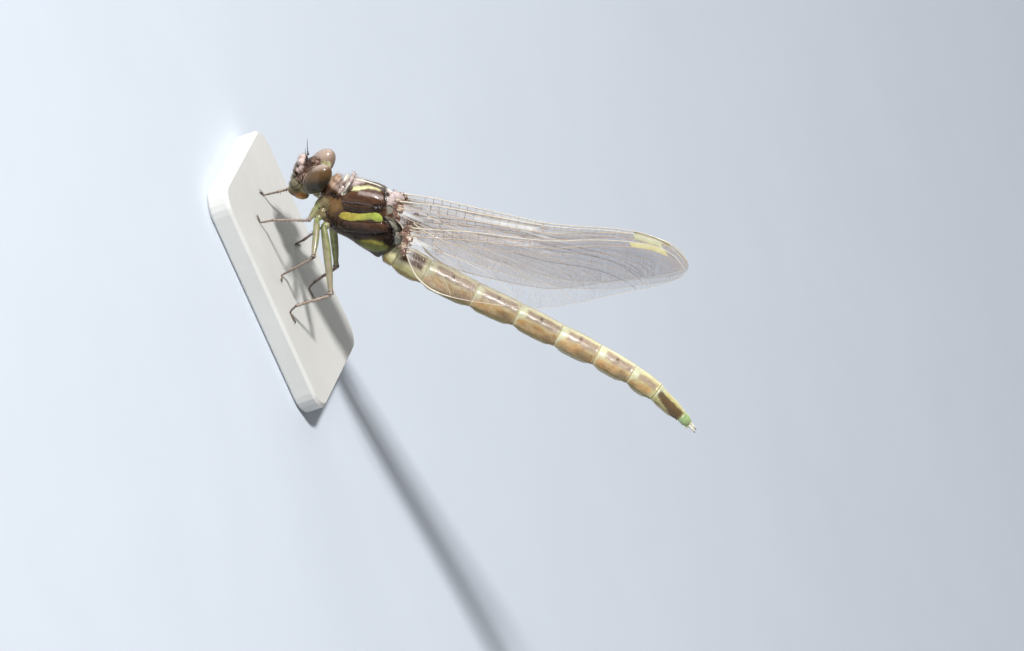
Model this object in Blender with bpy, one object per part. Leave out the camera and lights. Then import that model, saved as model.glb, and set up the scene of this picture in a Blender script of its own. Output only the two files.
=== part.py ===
"""A newly emerged clubtail dragonfly (family Gomphidae, female), life size, on a flat display base.

World frame: metres, +Z up, origin at the centre of the base's underside. The head points to -X.
The animal is drawn in its own body frame, in millimetres: x runs tailward, y to its right, z to its back.
That frame is pitched tail-up over the feet, which all stand at one level on the base.
"""

import math

import bmesh
import bpy
from mathutils import Matrix, Vector

MM = 0.001
GAP = 0.3  # clearance between neighbouring solids
THIN = 0.5  # least thickness of a wing, leg or feeler

# Stance: the body axis over the level of the feet
PITCH = 36.4  # degrees, tail up
BASE_SIZE = (32.0, 25.0, 3.0)
BASE_CORNER = 3.0
BASE_EDGE = 0.4
HEIGHT = 11.2  # thorax centre over the soles
THORAX_X = -4.0  # thorax centre from the middle of the base
SOLE_Z = BASE_SIZE[2] + GAP

# Head, in the body frame; it turns about its centre
HEAD_CENTRE = Vector((-7.7, 0.0, 1.15))
HEAD_PITCH, HEAD_ROLL, HEAD_YAW = 4.0, 0.0, 6.0  # degrees: nose down, crown and face to the left
EYE_CENTRE = Vector((0.62, 2.45, 0.68))  # from the head centre
EYE_RADII = (1.55, 1.42, 2.20)
EYE_TILT = 12.0  # degrees: its top towards the back
MOUTH_Z = -2.6  # the cut between face and mouthparts, from the head centre
# (x from the head centre, middle height, half height, half width)
HEAD_RINGS = (
    (-2.70, -0.75, 1.10, 0.90),
    (-2.48, -0.85, 2.15, 1.70),
    (-1.90, -1.00, 2.85, 2.25),
    (-1.20, -0.90, 3.10, 2.60),
    (-0.40, -0.75, 3.15, 2.60),
    (0.40, -0.45, 3.00, 2.40),
    (1.10, -0.20, 2.55, 2.25),
    (1.65, 0.00, 1.90, 1.90),
    (1.95, 0.00, 1.15, 1.30),
)
ANTENNA_BASE = Vector((-1.75, 0.75, 2.0))
ANTENNA_LENGTH = 2.1

# Neck and thorax: slanted rings from a belly point to a back point (x, z), with a half width
NECK_RINGS = (
    ((-5.35, -1.0), (-5.45, 1.7), 0.95),
    ((-5.15, -1.6), (-5.20, 2.4), 1.55),
    ((-4.85, -1.9), (-4.75, 2.7), 1.75),
    ((-4.55, -1.8), (-4.35, 2.6), 1.70),
)
THORAX_RINGS = (
    ((-4.15, -2.0), (-3.95, 2.6), 1.80),
    ((-3.95, -2.9), (-3.55, 3.5), 2.35),
    ((-3.00, -3.7), (-2.40, 4.1), 2.80),
    ((-1.40, -4.0), (-0.80, 4.55), 3.10),
    ((0.40, -3.8), (0.90, 4.85), 3.25),
    ((2.20, -3.9), (2.30, 4.95), 3.20),
    ((3.60, -3.9), (3.70, 4.10), 2.90),
    ((4.60, -4.0), (5.30, 2.30), 2.40),
    ((5.05, -3.9), (6.40, 0.70), 1.95),
    ((5.15, -3.6), (6.20, -0.50), 1.50),
)
WAIST_RINGS = (
    ((5.50, -4.0), (6.60, -0.85), 1.50),
    ((6.10, -4.25), (6.70, -0.80), 1.75),
    ((6.85, -4.45), (6.85, -0.75), 1.82),
)

# Abdomen: (length, slope in degrees, radius at the front, radius at the middle) of segments 2 to 10
ABDOMEN_START = Vector((7.0, 0.0, -2.62))
SEGMENTS = (
    (4.20, 2.7, 1.85, 1.96),
    (6.85, 5.9, 1.92, 1.99),
    (6.05, 7.6, 1.90, 1.87),
    (5.90, 4.8, 1.76, 1.80),
    (5.50, 5.2, 1.73, 1.78),
    (5.00, 2.3, 1.62, 1.65),
    (3.90, -4.4, 1.52, 1.57),
    (4.50, -12.5, 1.42, 1.18),
    (1.30, -14.0, 0.90, 0.86),
)
TIP_RADIUS = 0.68
CERCUS_LENGTH = 1.15

# Wings, right side: root and tip in the body frame; the blade stands in the body's length.
# SIDE: distance of the leading edge from the middle plane, at the root and from mid span on.
# LEAN: how far the blade leans out for each step behind its leading edge, at the root and at the tip.
# PLAN: share of the span, leading edge before the root-tip line, trailing edge behind it.
FOREWING = (Vector((3.6, 0, 4.5)), Vector((39.35, 0, 17.0)))
HINDWING = (Vector((6.4, 0, 2.6)), Vector((39.1, 0, 16.9)))
FORE_SIDE, HIND_SIDE = (1.35, 0.42), (2.25, 1.36)
FORE_LEAN, HIND_LEAN = (0.14, 0.10), (0.36, 0.12)
FORE_PLAN = (
    (0.00, 0.25, 2.10), (0.04, 0.45, 3.30), (0.09, 0.80, 4.30), (0.16, 1.05, 4.95), (0.26, 1.20, 5.45),
    (0.38, 1.35, 5.85), (0.48, 1.35, 6.10), (0.58, 1.85, 6.05), (0.66, 2.45, 5.55), (0.74, 2.95, 4.80),
    (0.81, 3.17, 3.85), (0.88, 2.95, 2.85), (0.93, 2.40, 2.05), (0.97, 1.45, 1.25), (0.995, 0.40, 0.40),
)
HIND_PLAN = (
    (0.00, 0.15, 2.90), (0.03, 0.20, 4.60), (0.06, 0.25, 5.80), (0.12, 0.45, 6.95), (0.20, 0.75, 7.45),
    (0.30, 0.90, 7.60), (0.42, 1.00, 7.55), (0.52, 1.30, 7.20), (0.62, 2.10, 6.05), (0.70, 2.60, 4.95),
    (0.78, 2.92, 3.80), (0.86, 2.98, 2.80), (0.92, 2.60, 1.95), (0.965, 1.70, 1.10), (0.995, 0.45, 0.40),
)

# Legs: hip in the body frame, then knee, ankle and claw as (x, y, height over the soles)
# from under the thorax centre; radii of femur, tibia and tarsus
LEGS = {
    "fore_left": ((-4.75, -1.15, -2.55), (-3.0, -6.0, 6.5), (-4.0, -4.2, 1.45), (-5.0, -4.4, 0.0)),
    "mid_left": ((-3.60, -1.60, -3.65), (1.75, -6.5, 5.1), (2.95, -4.6, 1.10), (3.3, -6.0, 0.0)),
    "hind_left": ((-1.75, -1.70, -4.20), (7.2, -6.5, 5.2), (6.6, -8.2, 0.85), (8.4, -8.1, 0.0)),
    "fore_right": ((-4.75, 1.15, -2.55), (-4.4, 5.0, 4.6), (-5.6, 1.9, 1.50), (-6.6, 0.9, 0.0)),
    "mid_right": ((-3.60, 1.60, -3.65), (1.6, 6.2, 5.0), (2.4, 4.6, 1.10), (3.3, 6.2, 0.0)),
    "hind_right": ((-1.75, 1.70, -4.20), (7.4, 5.2, 3.5), (7.6, 2.6, 0.80), (9.7, 2.7, 0.0)),
}
LEG_RADII = {"fore": (0.42, 0.30, 0.25), "mid": (0.46, 0.31, 0.25), "hind": (0.54, 0.33, 0.26)}
FOOT_FLAT = 0.55  # length of the flat end of each foot


def clear_scene():
    for obj in list(bpy.data.objects):
        bpy.data.objects.remove(obj, do_unlink=True)


def material(name, colour, roughness, metallic=0.0, alpha=1.0):
    """A Principled material in one plain finish."""
    made = bpy.data.materials.new(name)
    made.use_nodes = True
    shader = made.node_tree.nodes["Principled BSDF"]
    shader.inputs["Base Color"].default_value = (*colour, 1.0)
    shader.inputs["Roughness"].default_value = roughness
    shader.inputs["Metallic"].default_value = metallic
    shader.inputs["Alpha"].default_value = alpha
    made.diffuse_color = (*colour, alpha)
    return made


def empty(name, location=(0, 0, 0), rotation=None, parent=None):
    """A frame that pieces hang from; location in millimetres, rotation a matrix."""
    obj = bpy.data.objects.new(name, None)
    bpy.context.scene.collection.objects.link(obj)
    turn = rotation.to_4x4() if rotation is not None else Matrix.Identity(4)
    obj.matrix_basis = Matrix.Translation(Vector(location) * MM) @ turn
    obj.parent = parent
    return obj


def finish_object(name, bm, finish, parent=None, location=(0, 0, 0), rotation=None, smooth=40.0):
    """Turns a bmesh drawn in millimetres into an object in metres."""
    bmesh.ops.scale(bm, vec=(MM, MM, MM), verts=bm.verts)
    bmesh.ops.recalc_face_normals(bm, faces=bm.faces)
    mesh = bpy.data.meshes.new(name)
    bm.to_mesh(mesh)
    bm.free()
    mesh.shade_smooth()
    mesh.set_sharp_from_angle(angle=math.radians(smooth))
    mesh.materials.append(finish)
    obj = bpy.data.objects.new(name, mesh)
    bpy.context.scene.collection.objects.link(obj)
    turn = rotation.to_4x4() if rotation is not None else Matrix.Identity(4)
    obj.matrix_basis = Matrix.Translation(Vector(location) * MM) @ turn
    obj.parent = parent
    return obj


def skin_rings(bm, rings):
    """Joins rings of points into one closed surface, each end closed by a face."""
    loops = [[bm.verts.new(p) for p in ring] for ring in rings]
    for a, b in zip(loops, loops[1:]):
        for i in range(len(a)):
            j = (i + 1) % len(a)
            bm.faces.new((a[i], a[j], b[j], b[i]))
    bm.faces.new(list(reversed(loops[0])))
    bm.faces.new(loops[-1])


def oval(sides, half_width, half_height, power=2.0):
    """Points (across, up) round a superellipse; power 2 is a plain ellipse."""
    points = []
    for i in range(sides):
        a = 2 * math.pi * (i + 0.5) / sides
        c, s = math.cos(a), math.sin(a)
        across = math.copysign(abs(c) ** (2 / power), c) * half_width
        up = math.copysign(abs(s) ** (2 / power), s) * half_height
        points.append((across, up))
    return points


def slanted_rings(rings, sides, power, grow=0.0):
    """Rings that lean from a belly point to a back point, both on the middle plane."""
    for i, ((bx, bz), (tx, tz), half_width) in enumerate(rings):
        low, high = Vector((bx, 0, bz)), Vector((tx, 0, tz))
        middle, up = (low + high) / 2, (high - low) / 2
        middle.x += grow * ((i == len(rings) - 1) - (i == 0))
        up *= 1 + grow / up.length
        wide = half_width + grow
        yield [middle + up * u + Vector((0, w * wide, 0)) for w, u in oval(sides, 1, 1, power)]


def tube(bm, points, radii, sides=8):
    """A round limb through the points, its rings square to the bend."""
    path = [Vector(p) for p in points]
    rings = []
    side = None
    for i, p in enumerate(path):
        ahead = (path[min(i + 1, len(path) - 1)] - path[max(i - 1, 0)]).normalized()
        if side is None:
            side = ahead.orthogonal().normalized()
        side = (side - ahead * side.dot(ahead)).normalized()
        up = ahead.cross(side)
        rings.append([p + side * a + up * b for a, b in oval(sides, radii[i], radii[i])])
    skin_rings(bm, rings)


def ball(bm, radii, segments, rings):
    bmesh.ops.create_uvsphere(bm, u_segments=segments, v_segments=rings, radius=1.0)
    bmesh.ops.scale(bm, vec=radii, verts=bm.verts)


def boolean(obj, cutter, operation):
    """Cuts or keeps with a hidden helper."""
    cutter.hide_render = True
    cutter.display_type = "WIRE"
    modifier = obj.modifiers.new("cut_" + cutter.name, "BOOLEAN")
    modifier.operation = operation
    modifier.object = cutter
    modifier.solver = "EXACT"


def block(name, low, high, finish, parent):
    """A plain box between two corners, used as a cutter."""
    bm = bmesh.new()
    bmesh.ops.create_cube(bm, size=1.0)
    low, high = Vector(low), Vector(high)
    bmesh.ops.scale(bm, vec=high - low, verts=bm.verts)
    bmesh.ops.translate(bm, vec=(low + high) / 2, verts=bm.verts)
    return finish_object(name, bm, finish, parent)


def build_base(finish):
    """The display base: a plate with round corners and a small bevel."""
    bm = bmesh.new()
    half_x, half_y = BASE_SIZE[0] / 2, BASE_SIZE[1] / 2
    corners = ((1, 1, 0), (-1, 1, 90), (-1, -1, 180), (1, -1, 270))

    def outline(inset, z):
        r = BASE_CORNER - inset
        ring = []
        for sx, sy, start in corners:
            for k in range(7):
                a = math.radians(start + 15 * k)
                x = sx * (half_x - BASE_CORNER) + r * math.cos(a)
                ring.append((x, sy * (half_y - BASE_CORNER) + r * math.sin(a), z))
        return ring

    top = BASE_SIZE[2]
    skin_rings(bm, [outline(BASE_EDGE, 0), outline(0, BASE_EDGE), outline(0, top - BASE_EDGE), outline(BASE_EDGE, top)])
    return finish_object("stand_base", bm, finish, smooth=60)


def head_turn():
    """Nose down, crown leaning to the left, face turned to the left."""
    pitch = Matrix.Rotation(math.radians(-HEAD_PITCH), 3, "Y")
    roll = Matrix.Rotation(math.radians(HEAD_ROLL), 3, "X")
    yaw = Matrix.Rotation(math.radians(HEAD_YAW), 3, "Z")
    return yaw @ roll @ pitch


def head_shell(name, finish, parent):
    bm = bmesh.new()
    rings = []
    for x, z, half_height, half_width in HEAD_RINGS:
        rings.append([(x, y, z + up) for y, up in oval(28, half_width, half_height, 2.3)])
    skin_rings(bm, rings)
    return finish_object(name, bm, finish, parent)


def build_head(body, finishes):
    """Head capsule, mouthparts, eyes and antennae."""
    frame = empty("head_frame", HEAD_CENTRE, head_turn(), body)
    head = head_shell("head", finishes["head"], frame)
    mouth = head_shell("mouthparts", finishes["mouth"], frame)
    above = block("above_mouth", (-5, -5, MOUTH_Z), (5, 5, 6), finishes["head"], frame)
    below = block("below_mouth", (-5, -5, -6), (5, 5, MOUTH_Z + GAP), finishes["head"], frame)
    boolean(mouth, above, "DIFFERENCE")
    boolean(head, below, "DIFFERENCE")
    lean = Matrix.Rotation(math.radians(EYE_TILT), 3, "Y")
    for side, sign in (("left", -1), ("right", 1)):
        centre = Vector((EYE_CENTRE.x, sign * EYE_CENTRE.y, EYE_CENTRE.z))
        bm = bmesh.new()
        ball(bm, EYE_RADII, 20, 14)
        finish_object("eye_" + side, bm, finishes["eye"], frame, centre, lean)
        bm = bmesh.new()
        ball(bm, [r + GAP for r in EYE_RADII], 20, 14)
        socket = finish_object("socket_" + side, bm, finishes["eye"], frame, centre, lean)
        boolean(head, socket, "DIFFERENCE")
        build_antenna(side, sign, frame, finishes["dark"])


def build_antenna(side, sign, frame, finish):
    """Two thick joints and a bristle, pointing forward and up."""
    ahead = Vector((-0.52, sign * 0.35, 0.78)).normalized()
    base = Vector((ANTENNA_BASE.x, sign * ANTENNA_BASE.y, ANTENNA_BASE.z))
    steps = (0.0, 0.35, 0.4, 1.0)
    radii = (0.32, 0.32, THIN / 2, THIN / 2)
    bm = bmesh.new()
    tube(bm, [ahead * ANTENNA_LENGTH * s for s in steps], radii, 6)
    finish_object("antenna_" + side, bm, finish, frame, base)


def build_thorax(body, finish):
    bm = bmesh.new()
    skin_rings(bm, list(slanted_rings(NECK_RINGS, 20, 2.2)))
    finish_object("prothorax", bm, finish, body)
    bm = bmesh.new()
    skin_rings(bm, list(slanted_rings(THORAX_RINGS, 28, 2.25)))
    return finish_object("thorax", bm, finish, body)


def build_abdomen(body, finish, tip_finish):
    """A slanted first segment, then nine round ones that each lean on from the last, with thin cuts between."""
    bm = bmesh.new()
    skin_rings(bm, list(slanted_rings(WAIST_RINGS, 20, 2.0)))
    finish_object("abdomen_01", bm, finish, body)
    start = ABDOMEN_START.copy()
    for i, (length, slope, front, middle) in enumerate(SEGMENTS):
        back = SEGMENTS[i + 1][2] if i + 1 < len(SEGMENTS) else TIP_RADIUS
        turn = Matrix.Rotation(math.radians(-slope), 3, "Y")
        cut = GAP / 2
        stations = ((cut, front), (length / 2, middle), (length - cut, back))
        if i + 1 < len(SEGMENTS):
            ease = 0.12 * length
            stations = (
                (cut, front * 0.97), (cut + ease, (front * 2 + middle) / 3), (length / 2, middle),
                (length - cut - ease, (back * 2 + middle) / 3), (length - cut, back * 0.97),
            )
        bm = bmesh.new()
        skin_rings(bm, [[(x, y, z) for y, z in oval(20, r, r)] for x, r in stations])
        finish_object(f"abdomen_{i + 2:02d}", bm, finish, body, start, turn)
        start = start + turn @ Vector((length, 0, 0))
    for side, sign in (("left", -1), ("right", 1)):
        ahead = turn @ Vector((1, sign * 0.12, -0.1)).normalized()
        root = start + turn @ Vector((GAP, sign * 0.38, 0.12))
        bm = bmesh.new()
        tube(bm, [ahead * CERCUS_LENGTH * s for s in (0, 0.35, 1)], (THIN / 2, 0.3, THIN / 2), 6)
        finish_object("cercus_" + side, bm, tip_finish, body, root)


def build_wing(name, ends, plan, side, lean, sign, body, finish):
    """A blade of even thickness that leans out from its leading edge, its chord hanging down."""
    root, tip = ends
    span = tip - root
    down = Vector((span.z, 0, -span.x)).normalized()
    half = Vector((0, THIN / 2, 0))
    rings = []
    for t, lead, trail in plan:
        out = side[0] + (side[1] - side[0]) * min(t / 0.5, 1)
        tilt = lean[0] + (lean[1] - lean[0]) * t
        front = root + span * t - down * lead + Vector((0, sign * out, 0))
        step = (down + Vector((0, sign * tilt, 0))) * (lead + trail) / 4
        edges = [front + step * k for k in range(5)]
        rings.append([e + half for e in edges] + [e - half for e in reversed(edges)])
    bm = bmesh.new()
    skin_rings(bm, [[p - root for p in ring] for ring in rings])
    return finish_object(name, bm, finish, body, root)


def build_leg(name, joints, body_frame, finishes):
    """Hip and femur, tibia, and a foot that ends in a flat at the level of the soles."""
    hip = body_frame @ Vector(joints[0])
    ground = Vector((THORAX_X, 0, SOLE_Z))
    knee, ankle, claw = (ground + Vector(p) for p in joints[1:])
    femur, tibia, foot = LEG_RADII[name.split("_")[0]]
    claw.z += foot
    shin, thigh = (ankle - knee).normalized(), (knee - hip).normalized()
    bend = hip + Vector((0, math.copysign(0.5, hip.y), -0.9))
    bm = bmesh.new()
    way = knee - bend
    path = [Vector((0, 0, 0)), bend - hip, bend + way * 0.3 - hip, bend + way * 0.75 - hip, knee - thigh * femur - hip]
    tube(bm, path, (femur * 1.15, femur * 1.1, femur, femur * 0.85, femur * 0.7))
    finish_object("femur_" + name, bm, finishes["leg"], None, hip)
    bm = bmesh.new()
    shank = ankle - knee
    top, end = shin * (femur * 0.7 + GAP), shank - shin * (foot + GAP / 2)
    tube(bm, [top, top + (end - top) * 0.4, end], (tibia * 0.95, tibia, tibia * 0.85))
    finish_object("tibia_" + name, bm, finishes["shin"], None, knee)
    bm = bmesh.new()
    level = Vector((claw.x - ankle.x, claw.y - ankle.y, 0)).normalized()
    heel = claw - level * FOOT_FLAT
    start = shin * GAP / 2
    tube(bm, [start, heel - ankle, claw - ankle], (foot, foot, foot))
    finish_object("tarsus_" + name, bm, finishes["shin"], None, ankle)


def main():
    clear_scene()
    finishes = {
        "base": material("base", (0.80, 0.79, 0.76), 0.45),
        "head": material("head", (0.36, 0.25, 0.19), 0.4),
        "mouth": material("mouth", (0.42, 0.38, 0.16), 0.4),
        "eye": material("eye", (0.20, 0.15, 0.09), 0.15),
        "dark": material("dark", (0.08, 0.06, 0.05), 0.5),
        "thorax": material("thorax", (0.20, 0.13, 0.09), 0.3),
        "abdomen": material("abdomen", (0.55, 0.47, 0.30), 0.35),
        "tip": material("tip", (0.66, 0.66, 0.52), 0.4),
        "wing": material("wing", (0.72, 0.68, 0.62), 0.2, alpha=0.35),
        "leg": material("leg", (0.48, 0.47, 0.27), 0.4),
        "shin": material("shin", (0.34, 0.25, 0.19), 0.45),
    }
    build_base(finishes["base"])
    tilt = Matrix.Rotation(math.radians(-PITCH), 3, "Y")
    place = Vector((THORAX_X, 0, SOLE_Z + HEIGHT))
    body = empty("body_frame", place, tilt)
    body_frame = Matrix.Translation(place) @ tilt.to_4x4()
    build_head(body, finishes)
    build_thorax(body, finishes["thorax"])
    build_abdomen(body, finishes["abdomen"], finishes["tip"])
    bm = bmesh.new()
    skin_rings(bm, list(slanted_rings(THORAX_RINGS, 28, 2.25, GAP)))
    room = finish_object("thorax_room", bm, finishes["thorax"], body)
    for side, sign in (("left", -1), ("right", 1)):
        fore = ("forewing_" + side, FOREWING, FORE_PLAN, FORE_SIDE, FORE_LEAN)
        hind = ("hindwing_" + side, HINDWING, HIND_PLAN, HIND_SIDE, HIND_LEAN)
        for name, ends, plan, out, lean in (fore, hind):
            wing = build_wing(name, ends, plan, out, lean, sign, body, finishes["wing"])
            boolean(wing, room, "DIFFERENCE")
    for name, joints in LEGS.items():
        build_leg(name, joints, body_frame, finishes)


main()
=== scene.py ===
"""A newly emerged clubtail dragonfly as a life-size display model: skin, eyes, legs, wings and base.

The file is laid out as an add-on: property groups hold the sizes and colours, one operator makes each
piece or group of like pieces, and a panel lists them.
Shapes are drawn in millimetres in the animal's own body frame: x runs tailward, y to its right and z to
its back. That frame is pitched tail-up over the feet, and the points go into the room in metres.
"""
import math

import bmesh
import bpy
import numpy as np
from bpy.props import FloatProperty, FloatVectorProperty, IntProperty, PointerProperty
from bpy.types import Operator, Panel, PropertyGroup
from mathutils import Matrix, Vector


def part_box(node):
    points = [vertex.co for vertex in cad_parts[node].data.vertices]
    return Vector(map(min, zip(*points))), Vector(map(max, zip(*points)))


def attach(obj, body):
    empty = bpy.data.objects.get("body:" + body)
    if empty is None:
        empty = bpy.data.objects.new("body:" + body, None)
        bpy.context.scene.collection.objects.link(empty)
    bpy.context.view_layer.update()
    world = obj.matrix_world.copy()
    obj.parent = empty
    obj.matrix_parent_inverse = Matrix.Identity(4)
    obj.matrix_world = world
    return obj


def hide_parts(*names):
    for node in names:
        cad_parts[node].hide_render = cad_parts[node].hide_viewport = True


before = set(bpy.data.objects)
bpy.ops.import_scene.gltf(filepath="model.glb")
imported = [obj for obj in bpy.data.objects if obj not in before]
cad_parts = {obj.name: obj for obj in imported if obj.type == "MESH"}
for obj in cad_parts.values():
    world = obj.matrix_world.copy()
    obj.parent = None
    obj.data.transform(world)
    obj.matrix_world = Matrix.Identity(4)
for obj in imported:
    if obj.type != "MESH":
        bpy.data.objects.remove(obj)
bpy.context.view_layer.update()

bl_info = {
    "name": "Clubtail dragonfly",
    "version": (1, 0, 0),
    "blender": (4, 5, 0),
    "location": "3D View > Sidebar > Dragonfly",
    "description": "Makes a life-size clubtail dragonfly, newly emerged, on a flat display base",
    "category": "Add Mesh",
}

MM = 0.001
SIDES = (("left", -1), ("right", 1))

# Stance of the body frame over the base
PITCH = math.radians(36.4)
BASE_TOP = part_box("stand_base")[1].z / MM
SOLE_GAP = 0.3
THORAX_HEIGHT = 11.2  # of its centre over the soles
GROUND = np.array([-4.0, 0.0, BASE_TOP + SOLE_GAP])  # under the thorax centre, at the soles
ORIGIN = GROUND + np.array([0.0, 0.0, THORAX_HEIGHT])

# Head frame, from the body frame
HEAD_CENTRE = np.array([-7.7, 0.0, 1.15])
HEAD_TURN = Matrix.Rotation(math.radians(6), 3, "Z") @ Matrix.Rotation(math.radians(-4), 3, "Y")
EYE_PLACE = np.array([0.62, 2.45, 0.68])
EYE_RADII = np.array([1.46, 1.42, 2.3])
EYE_LEAN = Matrix.Rotation(math.radians(12), 3, "Y")

# Abdomen: slanted rings of its first segment (belly point, back point, half width), then
# (length, slope in degrees, radius at the front, radius at the middle) of segments 2 to 10
WAIST_RINGS = (
    ((5.1, -3.7), (6.3, -0.75), 1.35),
    ((5.5, -4.0), (6.6, -0.85), 1.5),
    ((6.1, -4.25), (6.7, -0.8), 1.75),
    ((7.0, -4.45), (7.0, -0.78), 1.84),
)
WAIST_LENGTH = 1.9  # of the first segment
ABDOMEN_START = np.array([7.0, 0.0, -2.62])
SEGMENTS = (
    (4.2, 2.7, 1.85, 1.96),
    (6.85, 5.9, 1.92, 1.99),
    (6.05, 7.6, 1.9, 1.87),
    (5.9, 4.8, 1.76, 1.8),
    (5.5, 5.2, 1.73, 1.78),
    (5.0, 2.3, 1.62, 1.65),
    (3.9, -4.4, 1.52, 1.57),
    (4.5, -12.5, 1.42, 1.18),
    (1.3, -14.0, 0.9, 0.86),
)
TIP_RADIUS = 0.68
# Rounding of the tip: distance past the last joint and share of the tip's radius
TIP_ROUND = ((0.0, 1.0), (0.07, 0.93), (0.13, 0.78), (0.17, 0.55), (0.19, 0.3))

# Legs: hip in the body frame, then knee, ankle and claw as (x, y, height over the soles)
LEGS = {
    "fore_left": ((-4.9, -1.3, -1.45), (-3.0, -6.0, 6.5), (-4.0, -4.2, 1.45), (-5.0, -4.4, 0.0)),
    "mid_left": ((-4.05, -1.8, -2.6), (1.75, -6.5, 5.1), (2.95, -4.6, 1.1), (3.3, -6.0, 0.0)),
    "hind_left": ((-2.75, -2.0, -3.0), (7.2, -6.5, 5.2), (6.6, -8.2, 0.85), (8.4, -8.1, 0.0)),
    "fore_right": ((-4.9, 1.3, -1.45), (-4.4, 5.0, 4.6), (-5.6, 1.9, 1.5), (-6.6, 0.9, 0.0)),
    "mid_right": ((-4.05, 1.8, -2.6), (1.6, 6.2, 5.0), (2.4, 4.6, 1.1), (3.3, 6.2, 0.0)),
    "hind_right": ((-2.75, 2.0, -3.0), (7.4, 5.2, 3.5), (7.6, 2.6, 0.8), (9.7, 2.7, 0.0)),
}
# Radii of each pair of legs at thigh, shin and foot
LEG_RADII = {"fore": (0.42, 0.3, 0.25), "mid": (0.46, 0.31, 0.25), "hind": (0.54, 0.33, 0.26)}

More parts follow.
